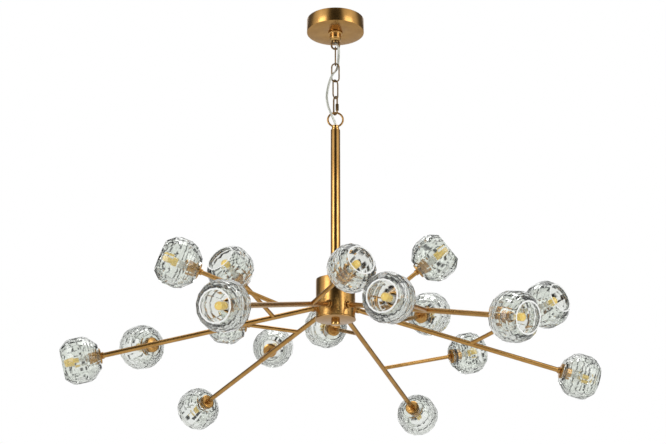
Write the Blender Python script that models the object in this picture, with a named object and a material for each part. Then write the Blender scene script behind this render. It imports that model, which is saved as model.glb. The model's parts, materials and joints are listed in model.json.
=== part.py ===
"""Eighteen-light chandelier: six branched brass arms, each with three cut-crystal shades,
on a hub that hangs by a stem and a short chain from a round ceiling canopy.

Metres, +Z up. The origin is the centre of the face that lies on the ceiling.
"""

import math

import bmesh
import bpy
from mathutils import Matrix, Vector

for old in list(bpy.data.objects):
    bpy.data.objects.remove(old, do_unlink=True)

GAP = 0.0003                      # running clearance between neighbouring pieces
CUT_PAST = 0.0020                 # how far a cutter runs past what it cuts

# ceiling fitting
CANOPY_DIAMETER = 0.120
CANOPY_HEIGHT = 0.029
CANOPY_WALL = 0.0012
CANOPY_RIM_ROUND = 0.0012
BRACKET_LENGTH = CANOPY_DIAMETER - 0.020
BRACKET_WIDTH = 0.020
BRACKET_THICKNESS = 0.002
BRACKET_HOLE_RADIUS = 0.0024
BRACKET_HOLE_SPACING = BRACKET_LENGTH - 0.020
NIPPLE_RADIUS = 0.005
NIPPLE_BORE_RADIUS = 0.0034
NIPPLE_INTO_COLLAR = 0.008
LOCKNUT_RADIUS = 0.0085
LOCKNUT_THICKNESS = 0.004
COLLAR_FLANGE_RADIUS = 0.0148
COLLAR_FLANGE_THICKNESS = 0.0030
COLLAR_BODY_RADIUS = COLLAR_FLANGE_RADIUS - 0.0026
COLLAR_END_RADIUS = COLLAR_BODY_RADIUS - 0.0026
COLLAR_HEIGHT = 0.0195
COLLAR_TAPER = 0.0060
LOOP_WIRE = 0.0040
LOOP_WIDTH = 0.0200
LOOP_DROP = 0.0197
LOOP_SEAT_RADIUS = 0.0070
LOOP_SEAT_HEIGHT = 0.0050
LOOP_END_REACH = 0.0045
LOOP_BEND_STEPS = 10

# chain, from the top down; a turn of 0 faces the front
LINK_WIRE = 0.0030
LINK_LENGTH = 0.0440
LINK_WIDTH = 0.0182
LINK_TURNS = {"chain_link_1": 90.0, "chain_link_2": 0.0, "chain_link_3": 50.0}
QUICK_WIRE = 0.0035
QUICK_LENGTH = 0.0435
QUICK_WIDTH = 0.0159
QUICK_TURN = -55.0
SLEEVE_RADIUS = 0.0034
SLEEVE_LENGTH = 0.0150
SLEEVE_FOOT = 0.0084              # from the quick link's lower end up to the sleeve
GATE_OPENING = 0.0050
GATE_FOOT = 0.0104                # from the quick link's lower end up to the open gate

# stem
RING_WIRE = 0.0040
RING_DIAMETER = 0.0350
STEM_DIAMETER = 0.0195
FERRULE_HEIGHT = 0.0095
FERRULE_RADIUS = STEM_DIAMETER / 2 - 0.00145
FERRULE_WAIST = FERRULE_RADIUS - 0.0009
SPIGOT_LENGTH = 0.0120
STEM_WALL = 0.0012
STEM_LENGTH = 0.3205
STEM_FLOOR = 0.0040

# hub
HUB_DIAMETER = 0.0780
HUB_HEIGHT = 0.0800
HUB_WALL = 0.0016
HUB_EDGE_ROUND = 0.0010
ARM_LEVEL = 0.0206                # arm centres above the hub's lower edge
PLATE_DIAMETER = HUB_DIAMETER + 0.0020
PLATE_THICKNESS = 0.0020
ARM_RADIUS = 0.0050
BOSS_RADIUS = ARM_RADIUS + 0.0036
BOSS_STAND = 0.0024               # how far a boss stands out of the hub's wall
TIE_RADIUS = 0.0050
TIE_BORE_RADIUS = 0.0034
TIE_INTO_STEM = 0.0150
FINIAL_RADIUS = 0.0088
FINIAL_HEIGHT = 0.0100
FINIAL_FLOOR = 0.0025

# arms; lengths run along the tubes' centre lines from the hub's wall
ARM_COUNT = 6
FIRST_ARM_BEARING = -22.0         # from the front, towards +X
ARM_DROOP = 15.0
ARM_CLOCKING = (-10.0, 23.0, -2.0, -3.0, -18.0, 9.0)   # as each arm is screwed home
ARM_START = HUB_DIAMETER / 2 + 0.0006   # from the hub's axis
ARM_INSIDE = 0.0080
BRANCH_RADIUS = ARM_RADIUS * 0.8
TUBE_WALL = 0.0010
ARM_COLLAR_RADIUS = ARM_RADIUS + 0.0014
ARM_COLLAR_START = 0.0034
ARM_COLLAR_LENGTH = 0.0060
# name: (fork from the hub, length, turn towards the next arm, lift out of the arm's plane)
LIGHTS = {
    "main": (None, 0.4250, 0.0, 0.0),
    "near": (0.0850, 0.1044, 55.0, 30.0),
    "far": (0.2380, 0.1548, -58.0, 19.0),
}

# shade holder, turned about the tube's axis; heights run outwards from the tube's end
SOCKET_RADIUS = 0.0117
DISH_RADIUS = SOCKET_RADIUS + 0.0033
DISH_THICKNESS = 0.0035
DISH_BACK_RADIUS = DISH_RADIUS - 0.0030
SOCKET_WALL = 0.0015
SOCKET_END = 0.0250
SOCKET_FLOOR = 0.0060

# crystal shade, a ball cut flat at neck and mouth, ground with staggered rows of facets
SHADE_RADIUS = 0.0450
SHADE_CENTRE = SHADE_RADIUS - 0.0070    # from the neck's face
SHADE_LENGTH = SHADE_CENTRE + 0.0330
FACETS_AROUND = 12
FACET_ROWS = (-45.0, -12.0, 12.0, 42.0)
FACET_DEPTH = 0.0015
NECK_CLEARANCE = 0.0002
NECK_THICKNESS = 0.0070
CAVITY_RADIUS = SHADE_RADIUS - 0.0085
MOUTH_RIM = 0.0025
CAVITY_STEPS = 4

# lamp, a capsule on a round holder
HOLDER_RADIUS = SOCKET_RADIUS - SOCKET_WALL - 0.0017
HOLDER_START = 0.0064
HOLDER_END = 0.0220
LAMP_RADIUS = HOLDER_RADIUS - 0.0010
LAMP_END = 0.0660

# lead from the ceiling through the chain into the stem
CORD_DIAMETER = 0.0044
CORD_POINT_SPACING = 0.0085
CORD_ROUTE = [
    (0.0000, 0.0000, -0.0030), (0.0000, 0.0000, -0.0250), (0.0000, 0.0000, -0.0450),
    (0.0003, -0.0005, -0.0525), (0.0032, -0.0044, -0.0580), (0.0063, -0.0062, -0.0650),
    (0.0070, -0.0035, -0.0800),
    (0.0060, 0.0030, -0.0920), (0.0052, 0.0062, -0.1010), (0.0030, 0.0055, -0.1100),
    (-0.0008, 0.0000, -0.1185), (-0.0052, -0.0056, -0.1265), (-0.0100, -0.0068, -0.1370),
    (-0.0148, -0.0066, -0.1550), (-0.0176, -0.0062, -0.1730), (-0.0176, -0.0062, -0.1840),
    (-0.0148, -0.0064, -0.2000), (-0.0108, -0.0066, -0.2115), (-0.0062, -0.0052, -0.2225),
    (-0.0018, -0.0018, -0.2325), (0.0000, 0.0000, -0.2425), (0.0000, 0.0000, -0.2640),
]

# heights of the stack, from the ceiling down
CANOPY_BOTTOM = -CANOPY_HEIGHT
COLLAR_TOP = CANOPY_BOTTOM - GAP
COLLAR_BOTTOM = COLLAR_TOP - COLLAR_HEIGHT
LOOP_BOTTOM = COLLAR_BOTTOM - LOOP_DROP


def hung_below(upper_bottom, upper_wire, own_wire, own_length):
    """Lowest point of a link whose top bar rests on the bar above it."""
    return upper_bottom + upper_wire + GAP + own_wire - own_length


LINK_BOTTOMS = {}
last_bottom, last_wire = LOOP_BOTTOM, LOOP_WIRE
for link_name in LINK_TURNS:
    last_bottom = hung_below(last_bottom, last_wire, LINK_WIRE, LINK_LENGTH)
    last_wire = LINK_WIRE
    LINK_BOTTOMS[link_name] = last_bottom
QUICK_BOTTOM = hung_below(last_bottom, last_wire, QUICK_WIRE, QUICK_LENGTH)
RING_BOTTOM = hung_below(QUICK_BOTTOM, QUICK_WIRE, RING_WIRE, RING_DIAMETER)
FERRULE_TOP = RING_BOTTOM + RING_WIRE
FERRULE_BOTTOM = FERRULE_TOP - FERRULE_HEIGHT
STEM_TOP = FERRULE_BOTTOM - GAP
STEM_BOTTOM = STEM_TOP - STEM_LENGTH
HUB_TOP = STEM_BOTTOM - GAP
HUB_BOTTOM = HUB_TOP - HUB_HEIGHT
ARM_HEIGHT = HUB_BOTTOM + ARM_LEVEL
PLATE_TOP = HUB_BOTTOM - GAP
PLATE_BOTTOM = PLATE_TOP - PLATE_THICKNESS
FINIAL_TOP = PLATE_BOTTOM - GAP


# ---------------------------------------------------------------- materials

def finish(name, color, roughness, metallic=0.0, transmission=0.0):
    material = bpy.data.materials.new(name)
    material.use_nodes = True
    shader = material.node_tree.nodes["Principled BSDF"]
    shader.inputs["Base Color"].default_value = (*color, 1.0)
    shader.inputs["Roughness"].default_value = roughness
    shader.inputs["Metallic"].default_value = metallic
    shader.inputs["Transmission Weight"].default_value = transmission
    return material


SATIN_BRASS = finish("satin_brass", (0.56, 0.37, 0.15), 0.32, 1.0)
DARK_BRASS = finish("antique_brass", (0.33, 0.25, 0.15), 0.35, 1.0)
BRIGHT_BRASS = finish("bright_brass", (0.72, 0.50, 0.20), 0.12, 1.0)
ZINC = finish("zinc_steel", (0.55, 0.56, 0.57), 0.4, 1.0)
CRYSTAL = finish("crystal", (0.95, 0.97, 0.96), 0.02, 0.0, 1.0)
LAMP_WHITE = finish("lamp_white", (0.90, 0.80, 0.42), 0.4)
CLEAR_CORD = finish("clear_cord", (0.72, 0.74, 0.72), 0.25)


# ---------------------------------------------------------------- mesh helpers

def add_object(name, data, material, matrix=None, smooth_angle=30.0):
    piece = bpy.data.objects.new(name, data)
    bpy.context.scene.collection.objects.link(piece)
    if not data.materials:
        data.materials.append(material)
    if matrix is not None:
        piece.matrix_world = matrix
    if smooth_angle and isinstance(data, bpy.types.Mesh):
        data.shade_smooth()
        data.set_sharp_from_angle(angle=math.radians(smooth_angle))
    return piece


def mesh_from(bm, name):
    bmesh.ops.recalc_face_normals(bm, faces=bm.faces)
    mesh = bpy.data.meshes.new(name)
    bm.to_mesh(mesh)
    bm.free()
    return mesh


def turned(name, profile, segments=24):
    """Mesh turned about Z from (radius, height) points; a bored piece's profile comes back
    to its first point, a solid one's starts and ends on the axis."""
    bm = bmesh.new()
    bored = all(radius > 0.0 for radius, height in profile)
    verts = [bm.verts.new((radius, 0.0, height)) for radius, height in profile]
    edges = [bm.edges.new(pair) for pair in zip(verts, verts[1:])]
    if bored:
        edges.append(bm.edges.new((verts[-1], verts[0])))
    bmesh.ops.spin(bm, geom=verts + edges, cent=(0, 0, 0), axis=(0, 0, 1),
                   angle=math.tau, steps=segments, use_merge=True)
    bmesh.ops.remove_doubles(bm, verts=bm.verts, dist=1e-6)
    return mesh_from(bm, name)


def hole_for(radius, segments):
    """Corner radius of a hole whose flats keep the gap from a round of this radius."""
    return (radius + GAP) / math.cos(math.pi / segments)


def rod(name, radius, start, end, segments=12):
    """Plain solid cylinder along Z."""
    return turned(name, [(0.0, start), (radius, start), (radius, end), (0.0, end)], segments)


def box(name, size, centre=(0.0, 0.0, 0.0)):
    bm = bmesh.new()
    bmesh.ops.create_cube(bm, size=1.0)
    bmesh.ops.scale(bm, vec=size, verts=bm.verts)
    bmesh.ops.translate(bm, vec=centre, verts=bm.verts)
    return mesh_from(bm, name)


def tool(name, mesh, matrix=None):
    """Helper body that only a Boolean reads."""
    helper = bpy.data.objects.new(name, mesh)
    bpy.context.scene.collection.objects.link(helper)
    if matrix is not None:
        helper.matrix_world = matrix
    helper.hide_render = True
    helper.display_type = "WIRE"
    return helper


def boolean(piece, helpers, operation):
    """One modifier that joins, or cuts away, all the helpers at once."""
    group = bpy.data.collections.new(f"{piece.name}_{operation.lower()}")
    for helper in helpers:
        group.objects.link(helper)
    step = piece.modifiers.new(operation.lower(), "BOOLEAN")
    step.operation = operation
    step.solver = "EXACT"
    step.operand_type = "COLLECTION"
    step.collection = group


def baked_mesh(piece, name):
    """The piece's mesh with its modifiers applied, for copies to share."""
    bpy.context.view_layer.update()
    seen = piece.evaluated_get(bpy.context.evaluated_depsgraph_get())
    mesh = bpy.data.meshes.new_from_object(seen)
    mesh.name = name
    return mesh


def along(direction, origin=(0.0, 0.0, 0.0)):
    """Frame whose +Z runs along direction."""
    turn = Vector(direction).to_track_quat("Z", "Y").to_matrix().to_4x4()
    return Matrix.Translation(origin) @ turn


def oval_points(length, width, wire, bend_steps=8):
    """Centre line of a link in the XZ plane, lowest point of the wire at height 0."""
    bend = width / 2 - wire / 2
    low, high = width / 2, length - width / 2
    points = []
    for centre, first in ((high, 0.0), (low, math.pi)):
        for step in range(bend_steps + 1):
            angle = first + math.pi * step / bend_steps
            points.append(Vector((bend * math.cos(angle), 0.0, centre + bend * math.sin(angle))))
    return points


def wire_curve(name, points, wire, closed, resolution=2):
    curve = bpy.data.curves.new(name, "CURVE")
    curve.dimensions = "3D"
    curve.twist_mode = "MINIMUM"
    curve.bevel_depth = wire / 2
    curve.bevel_resolution = resolution
    curve.use_fill_caps = not closed
    spline = curve.splines.new("POLY")
    spline.points.add(len(points) - 1)
    for point, place in zip(spline.points, points):
        point.co = (*place, 1.0)
    spline.use_cyclic_u = closed
    return curve


# ---------------------------------------------------------------- ceiling fitting

def make_bracket():
    strap = box("ceiling_bracket", (BRACKET_LENGTH, BRACKET_WIDTH, BRACKET_THICKNESS),
                (0.0, 0.0, -BRACKET_THICKNESS / 2))
    bracket = add_object("ceiling_bracket", strap, ZINC, smooth_angle=None)
    depth = BRACKET_THICKNESS * 2
    centre_hole = rod("bracket_centre_hole", hole_for(NIPPLE_RADIUS, 12), -depth, depth)
    cutters = [tool("bracket_centre_hole", centre_hole)]
    for side in (-1, 1):
        place = Matrix.Translation((side * BRACKET_HOLE_SPACING / 2, 0.0, 0.0))
        hole = rod("bracket_screw_hole", BRACKET_HOLE_RADIUS, -depth, depth)
        cutters.append(tool("bracket_screw_hole", hole, place))
    boolean(bracket, cutters, "DIFFERENCE")


def make_canopy():
    outer, inner = CANOPY_DIAMETER / 2, CANOPY_DIAMETER / 2 - CANOPY_WALL
    floor = CANOPY_BOTTOM + CANOPY_WALL
    hole = hole_for(NIPPLE_RADIUS, 32)
    profile = [
        (hole, CANOPY_BOTTOM), (outer - CANOPY_RIM_ROUND, CANOPY_BOTTOM),
        (outer - CANOPY_RIM_ROUND * 0.3, CANOPY_BOTTOM + CANOPY_RIM_ROUND * 0.3),
        (outer, CANOPY_BOTTOM + CANOPY_RIM_ROUND), (outer, 0.0), (inner, 0.0), (inner, floor),
        (hole, floor),
    ]
    add_object("canopy", turned("canopy", profile, 32), SATIN_BRASS)


def make_nipple():
    bottom = COLLAR_TOP - NIPPLE_INTO_COLLAR
    profile = [(NIPPLE_BORE_RADIUS, bottom), (NIPPLE_RADIUS, bottom), (NIPPLE_RADIUS, -GAP),
               (NIPPLE_BORE_RADIUS, -GAP)]
    add_object("canopy_nipple", turned("canopy_nipple", profile, 16), ZINC)


def make_locknut():
    top = -BRACKET_THICKNESS - GAP
    bottom = top - LOCKNUT_THICKNESS
    hexagon = rod("bracket_locknut", LOCKNUT_RADIUS, bottom, top, 6)
    nut = add_object("bracket_locknut", hexagon, ZINC, smooth_angle=None)
    bore = rod("locknut_bore", hole_for(NIPPLE_RADIUS, 12), bottom - CUT_PAST, top + CUT_PAST)
    boolean(nut, [tool("locknut_bore", bore)], "DIFFERENCE")


def make_collar():
    bore, seat = hole_for(NIPPLE_RADIUS, 18), hole_for(LOOP_SEAT_RADIUS, 18)
    seat_top = COLLAR_BOTTOM + LOOP_SEAT_HEIGHT + GAP
    flange_bottom = COLLAR_TOP - COLLAR_FLANGE_THICKNESS
    taper_top = COLLAR_BOTTOM + COLLAR_TAPER
    profile = [
        (bore, COLLAR_TOP), (COLLAR_FLANGE_RADIUS - 0.0008, COLLAR_TOP),
        (COLLAR_FLANGE_RADIUS, COLLAR_TOP - 0.0010), (COLLAR_FLANGE_RADIUS, flange_bottom + 0.0006),
        (COLLAR_FLANGE_RADIUS - 0.0008, flange_bottom), (COLLAR_BODY_RADIUS, flange_bottom - 0.0004),
        (COLLAR_BODY_RADIUS, taper_top), (COLLAR_BODY_RADIUS - 0.0008, taper_top - 0.0030),
        (COLLAR_END_RADIUS, COLLAR_BOTTOM), (seat, COLLAR_BOTTOM), (seat, seat_top), (bore, seat_top),
    ]
    add_object("canopy_collar", turned("canopy_collar", profile, 18), BRIGHT_BRASS)


def make_canopy_loop():
    """Bent wire loop welded to a bored plug that sits in the collar."""
    reach = LOOP_WIDTH / 2 - LOOP_WIRE / 2
    bend_centre = LOOP_BOTTOM + LOOP_WIRE / 2 + reach
    low = COLLAR_BOTTOM - GAP - LOOP_WIRE
    end_height = low + LOOP_WIRE / 2
    # the two ends turn in under the collar to meet the plug
    points = [Vector((LOOP_END_REACH, 0.0, end_height)), Vector((reach, 0.0, end_height))]
    for step in range(LOOP_BEND_STEPS + 1):
        angle = -math.pi * step / LOOP_BEND_STEPS
        points.append(Vector((reach * math.cos(angle), 0.0, bend_centre + reach * math.sin(angle))))
    points += [Vector((-reach, 0.0, end_height)), Vector((-LOOP_END_REACH, 0.0, end_height))]
    wire = tool("canopy_loop_wire", wire_curve("canopy_loop_wire", points, LOOP_WIRE, closed=False))
    wire_mesh = baked_mesh(wire, "canopy_loop_wire")
    plug_low, plug_top = low + 0.0006, COLLAR_BOTTOM + LOOP_SEAT_HEIGHT
    edge = 0.0010
    plug_profile = [(0.0, plug_low), (LOOP_SEAT_RADIUS - edge, plug_low),
                    (LOOP_SEAT_RADIUS, plug_low + edge), (LOOP_SEAT_RADIUS, plug_top), (0.0, plug_top)]
    loop = add_object("canopy_loop", turned("canopy_loop", plug_profile, 14), DARK_BRASS)
    bore = rod("canopy_loop_bore", NIPPLE_BORE_RADIUS, low - CUT_PAST, plug_top + CUT_PAST)
    boolean(loop, [tool("canopy_loop_tool", wire_mesh)], "UNION")
    boolean(loop, [tool("canopy_loop_bore", bore)], "DIFFERENCE")
    bpy.data.objects.remove(wire)


# ---------------------------------------------------------------- chain

def make_chain():
    curve = wire_curve("chain_link", oval_points(LINK_LENGTH, LINK_WIDTH, LINK_WIRE), LINK_WIRE, closed=True)
    for name, turn in LINK_TURNS.items():
        place = Matrix.Translation((0.0, 0.0, LINK_BOTTOMS[name]))
        add_object(name, curve, DARK_BRASS, place @ Matrix.Rotation(math.radians(turn), 4, "Z"))


def quick_frame():
    turn = Matrix.Rotation(math.radians(QUICK_TURN), 4, "Z")
    return Matrix.Translation((0.0, 0.0, QUICK_BOTTOM)) @ turn


def make_quick_link():
    """Oval link with an open gate on its +X side, which the sleeve bridges."""
    oval = oval_points(QUICK_LENGTH, QUICK_WIDTH, QUICK_WIRE)
    reach = QUICK_WIDTH / 2 - QUICK_WIRE / 2
    upper_end = Vector((reach, 0.0, GATE_FOOT + GATE_OPENING))
    lower_end = Vector((reach, 0.0, GATE_FOOT))
    curve = wire_curve("quick_link", [upper_end] + oval + [lower_end], QUICK_WIRE, closed=False)
    add_object("quick_link", curve, DARK_BRASS, quick_frame())


def make_sleeve():
    bore = hole_for(QUICK_WIRE / 2, 12)
    chamfer = 0.0008
    profile = [
        (bore, 0.0), (SLEEVE_RADIUS - chamfer, 0.0), (SLEEVE_RADIUS, chamfer),
        (SLEEVE_RADIUS, SLEEVE_LENGTH - chamfer), (SLEEVE_RADIUS - chamfer, SLEEVE_LENGTH),
        (bore, SLEEVE_LENGTH),
    ]
    reach = QUICK_WIDTH / 2 - QUICK_WIRE / 2
    place = quick_frame() @ Matrix.Translation((reach, 0.0, SLEEVE_FOOT))
    add_object("quick_link_sleeve", turned("quick_link_sleeve", profile, 12), DARK_BRASS, place)


# ---------------------------------------------------------------- stem

def make_stem_ring():
    """Cast ring with a bored ferrule under it and a spigot that goes into the stem."""
    bm = bmesh.new()
    reach = RING_DIAMETER / 2 - RING_WIRE / 2
    circle = bmesh.ops.create_circle(bm, segments=8, radius=RING_WIRE / 2)
    bmesh.ops.translate(bm, vec=(reach, 0.0, 0.0), verts=circle["verts"])
    bmesh.ops.rotate(bm, matrix=Matrix.Rotation(math.radians(90.0), 3, "X"), verts=bm.verts)
    bmesh.ops.spin(bm, geom=bm.verts[:] + bm.edges[:], cent=(0, 0, 0), axis=(0, 0, 1),
                   angle=math.tau, steps=24, use_merge=True)
    bmesh.ops.rotate(bm, matrix=Matrix.Rotation(math.radians(90.0), 3, "X"), verts=bm.verts)
    bmesh.ops.translate(bm, vec=(0.0, 0.0, RING_BOTTOM + RING_DIAMETER / 2), verts=bm.verts)
    ring = add_object("stem_ring", mesh_from(bm, "stem_ring"), SATIN_BRASS)

    spigot = (STEM_DIAMETER / 2 - STEM_WALL) * math.cos(math.pi / 18) - GAP
    spigot_end = FERRULE_BOTTOM - SPIGOT_LENGTH
    edge = 0.0006
    profile = [
        (0.0, FERRULE_TOP + edge), (FERRULE_WAIST - 2 * edge, FERRULE_TOP + edge),
        (FERRULE_WAIST, FERRULE_TOP - edge), (FERRULE_WAIST, FERRULE_TOP - FERRULE_HEIGHT * 0.55),
        (FERRULE_RADIUS, FERRULE_BOTTOM + 2 * edge), (FERRULE_RADIUS, FERRULE_BOTTOM),
        (spigot, FERRULE_BOTTOM), (spigot, spigot_end), (0.0, spigot_end),
    ]
    ferrule = turned("stem_ferrule", profile, 16)
    bore_top = FERRULE_TOP + RING_WIRE + 0.0005
    bore = rod("stem_ring_bore", NIPPLE_BORE_RADIUS, spigot_end - CUT_PAST, bore_top)
    boolean(ring, [tool("stem_ferrule", ferrule)], "UNION")
    boolean(ring, [tool("stem_ring_bore", bore)], "DIFFERENCE")


def make_stem():
    outer = STEM_DIAMETER / 2
    inner = outer - STEM_WALL
    hole = hole_for(TIE_RADIUS, 18)
    profile = [(hole, STEM_BOTTOM), (outer, STEM_BOTTOM), (outer, STEM_TOP), (inner, STEM_TOP),
               (inner, STEM_BOTTOM + STEM_FLOOR), (hole, STEM_BOTTOM + STEM_FLOOR)]
    add_object("stem_tube", turned("stem_tube", profile, 18), SATIN_BRASS)


# ---------------------------------------------------------------- arms

def arm_frame(index):
    """Frame at the hub's wall with +X along the arm and +Y towards the next arm."""
    bearing = math.radians(FIRST_ARM_BEARING + 360.0 * index / ARM_COUNT - 90.0)
    start = (ARM_START * math.cos(bearing), ARM_START * math.sin(bearing), ARM_HEIGHT)
    return (Matrix.Translation(start) @ Matrix.Rotation(bearing, 4, "Z")
            @ Matrix.Rotation(math.radians(ARM_DROOP), 4, "Y"))


def clocked_frame(index):
    return arm_frame(index) @ Matrix.Rotation(math.radians(ARM_CLOCKING[index]), 4, "X")


def light_frame(fork, length, turn, lift):
    """Frame in the arm with its origin at a tube's outer end and +Z along the tube."""
    turn, lift = math.radians(turn), math.radians(lift)
    across = math.cos(lift)
    direction = Vector((across * math.cos(turn), across * math.sin(turn), math.sin(lift)))
    return along(direction, Vector((fork or 0.0, 0.0, 0.0)) + direction * length)


def holder_profile():
    inner = SOCKET_RADIUS - SOCKET_WALL
    edge = 0.0010
    return [
        (0.0, 0.0), (DISH_BACK_RADIUS, 0.0), (DISH_RADIUS, edge), (DISH_RADIUS, DISH_THICKNESS),
        (SOCKET_RADIUS, DISH_THICKNESS), (SOCKET_RADIUS, SOCKET_END), (inner, SOCKET_END),
        (inner, SOCKET_FLOOR), (0.0, SOCKET_FLOOR),
    ]


def make_arms():
    """Main tube, two branch tubes and three shade holders brazed into one piece."""
    along_x = Matrix.Rotation(math.radians(90.0), 4, "Y")
    length = LIGHTS["main"][1]
    into_dish = DISH_THICKNESS / 2
    main_tube = rod("arm_tube", ARM_RADIUS, -ARM_INSIDE, length + into_dish, 10)
    tube = add_object("arm_pattern", main_tube, SATIN_BRASS, along_x)
    collar_end = ARM_COLLAR_START + ARM_COLLAR_LENGTH
    collar_profile = [(0.0, ARM_COLLAR_START), (ARM_COLLAR_RADIUS - 0.0008, ARM_COLLAR_START),
                      (ARM_COLLAR_RADIUS, ARM_COLLAR_START + 0.0010), (ARM_COLLAR_RADIUS, collar_end - 0.0016),
                      (ARM_COLLAR_RADIUS - 0.0010, collar_end), (0.0, collar_end)]
    added = [tool("arm_collar", turned("arm_collar", collar_profile, 12), along_x)]
    bore_end = SOCKET_FLOOR + CUT_PAST
    main_bore = rod("arm_bore", ARM_RADIUS - TUBE_WALL, -ARM_INSIDE - CUT_PAST, length + bore_end, 6)
    bored = [tool("arm_bore", main_bore, along_x)]
    for fork, reach, turn, lift in LIGHTS.values():
        frame = light_frame(fork, reach, turn, lift)
        if fork is not None:
            branch = rod("branch_tube", BRANCH_RADIUS, -reach, into_dish, 9)
            added.append(tool("branch_tube", branch, frame))
            bore = rod("branch_bore", BRANCH_RADIUS - TUBE_WALL, -reach, bore_end, 6)
            bored.append(tool("branch_bore", bore, frame))
        added.append(tool("shade_holder", turned("shade_holder", holder_profile(), 10), frame))
    boolean(tube, added, "UNION")
    boolean(tube, bored, "DIFFERENCE")
    mesh = baked_mesh(tube, "branched_arm")
    mesh.transform(along_x)
    bpy.data.objects.remove(tube)
    for helper in added + bored:
        bpy.data.objects.remove(helper)
    for index in range(ARM_COUNT):
        add_object(f"arm_{index + 1}", mesh, SATIN_BRASS, clocked_frame(index))


# ---------------------------------------------------------------- hub

def make_hub():
    outer, inner = HUB_DIAMETER / 2, HUB_DIAMETER / 2 - HUB_WALL
    hole = hole_for(TIE_RADIUS, 24)
    ceiling = HUB_TOP - HUB_WALL
    profile = [
        (hole, HUB_TOP), (outer - HUB_EDGE_ROUND, HUB_TOP), (outer, HUB_TOP - HUB_EDGE_ROUND),
        (outer, HUB_BOTTOM), (inner, HUB_BOTTOM), (inner, ceiling), (hole, ceiling),
    ]
    hub = add_object("hub_shell", turned("hub_shell", profile, 24), SATIN_BRASS)
    edge = 0.0008
    boss_profile = [(0.0, -HUB_WALL), (BOSS_RADIUS, -HUB_WALL), (BOSS_RADIUS, BOSS_STAND - edge),
                    (BOSS_RADIUS - edge, BOSS_STAND), (0.0, BOSS_STAND)]
    bosses, bores = [], []
    for index in range(ARM_COUNT):
        frame = arm_frame(index) @ Matrix.Rotation(math.radians(90.0), 4, "Y")
        bosses.append(tool("hub_boss", turned("hub_boss", boss_profile, 10), frame))
        bore = rod("hub_bore", hole_for(ARM_RADIUS, 9), -ARM_INSIDE * 1.5, BOSS_STAND * 2, 9)
        bores.append(tool("hub_bore", bore, frame))
    boolean(hub, bosses, "UNION")
    boolean(hub, bores, "DIFFERENCE")


def make_plate():
    outer, hole = PLATE_DIAMETER / 2, hole_for(TIE_RADIUS, 30)
    edge = 0.0005
    profile = [(hole, PLATE_BOTTOM), (outer - edge, PLATE_BOTTOM), (outer, PLATE_BOTTOM + edge),
               (outer, PLATE_TOP), (hole, PLATE_TOP)]
    add_object("hub_plate", turned("hub_plate", profile, 30), SATIN_BRASS)


def make_tie_rod():
    """Threaded tube that clamps stem, hub, plate and finial together."""
    top = STEM_BOTTOM + TIE_INTO_STEM
    bottom = FINIAL_TOP - FINIAL_HEIGHT + FINIAL_FLOOR + GAP
    profile = [(TIE_BORE_RADIUS, bottom), (TIE_RADIUS, bottom), (TIE_RADIUS, top), (TIE_BORE_RADIUS, top)]
    add_object("hub_tie_rod", turned("hub_tie_rod", profile, 12), ZINC)


def make_finial():
    bottom = FINIAL_TOP - FINIAL_HEIGHT
    hole = hole_for(TIE_RADIUS, 20)
    edge = 0.0010
    profile = [
        (0.0, bottom), (FINIAL_RADIUS - edge, bottom), (FINIAL_RADIUS, bottom + edge),
        (FINIAL_RADIUS, FINIAL_TOP - edge / 2), (FINIAL_RADIUS - edge / 2, FINIAL_TOP),
        (hole, FINIAL_TOP), (hole, bottom + FINIAL_FLOOR), (0.0, bottom + FINIAL_FLOOR),
    ]
    add_object("finial_nut", turned("finial_nut", profile, 20), BRIGHT_BRASS)


# ---------------------------------------------------------------- shades and lamps

def cut_ball():
    """Ball between the neck's and the mouth's flat faces, ground by one plane for each facet."""
    bm = bmesh.new()
    reach = SHADE_RADIUS * 1.3
    bmesh.ops.create_cube(bm, size=2 * reach)
    centre = Vector((0.0, 0.0, SHADE_CENTRE))
    bmesh.ops.translate(bm, vec=centre, verts=bm.verts)
    up = Vector((0.0, 0.0, 1.0))
    planes = [(Vector((0.0, 0.0, 0.0)), -up), (up * SHADE_LENGTH, up)]
    for row, latitude in enumerate(FACET_ROWS):
        lean = math.radians(latitude)
        for facet in range(FACETS_AROUND):
            angle = math.tau * (facet + row % 2 / 2) / FACETS_AROUND
            outward = Vector((math.cos(angle), math.sin(angle), 0.0))
            normal = outward * math.cos(lean) + up * math.sin(lean)
            planes.append((centre + normal * (SHADE_RADIUS - FACET_DEPTH), normal))
    for point, normal in planes:
        cut = bmesh.ops.bisect_plane(bm, geom=bm.verts[:] + bm.edges[:] + bm.faces[:], dist=1e-7,
                                     plane_co=point, plane_no=normal, clear_outer=True)
        rim = [item for item in cut["geom_cut"] if isinstance(item, bmesh.types.BMEdge)]
        if rim:
            bmesh.ops.contextual_create(bm, geom=rim)
    bmesh.ops.remove_doubles(bm, verts=bm.verts, dist=1e-5)
    return mesh_from(bm, "shade_ball")


def mouth_radius():
    """Least radius of the ground ball at its mouth."""
    lean = math.radians(FACET_ROWS[-1])
    rise = SHADE_LENGTH - SHADE_CENTRE
    return (SHADE_RADIUS - FACET_DEPTH - rise * math.sin(lean)) / math.cos(lean)


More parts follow.
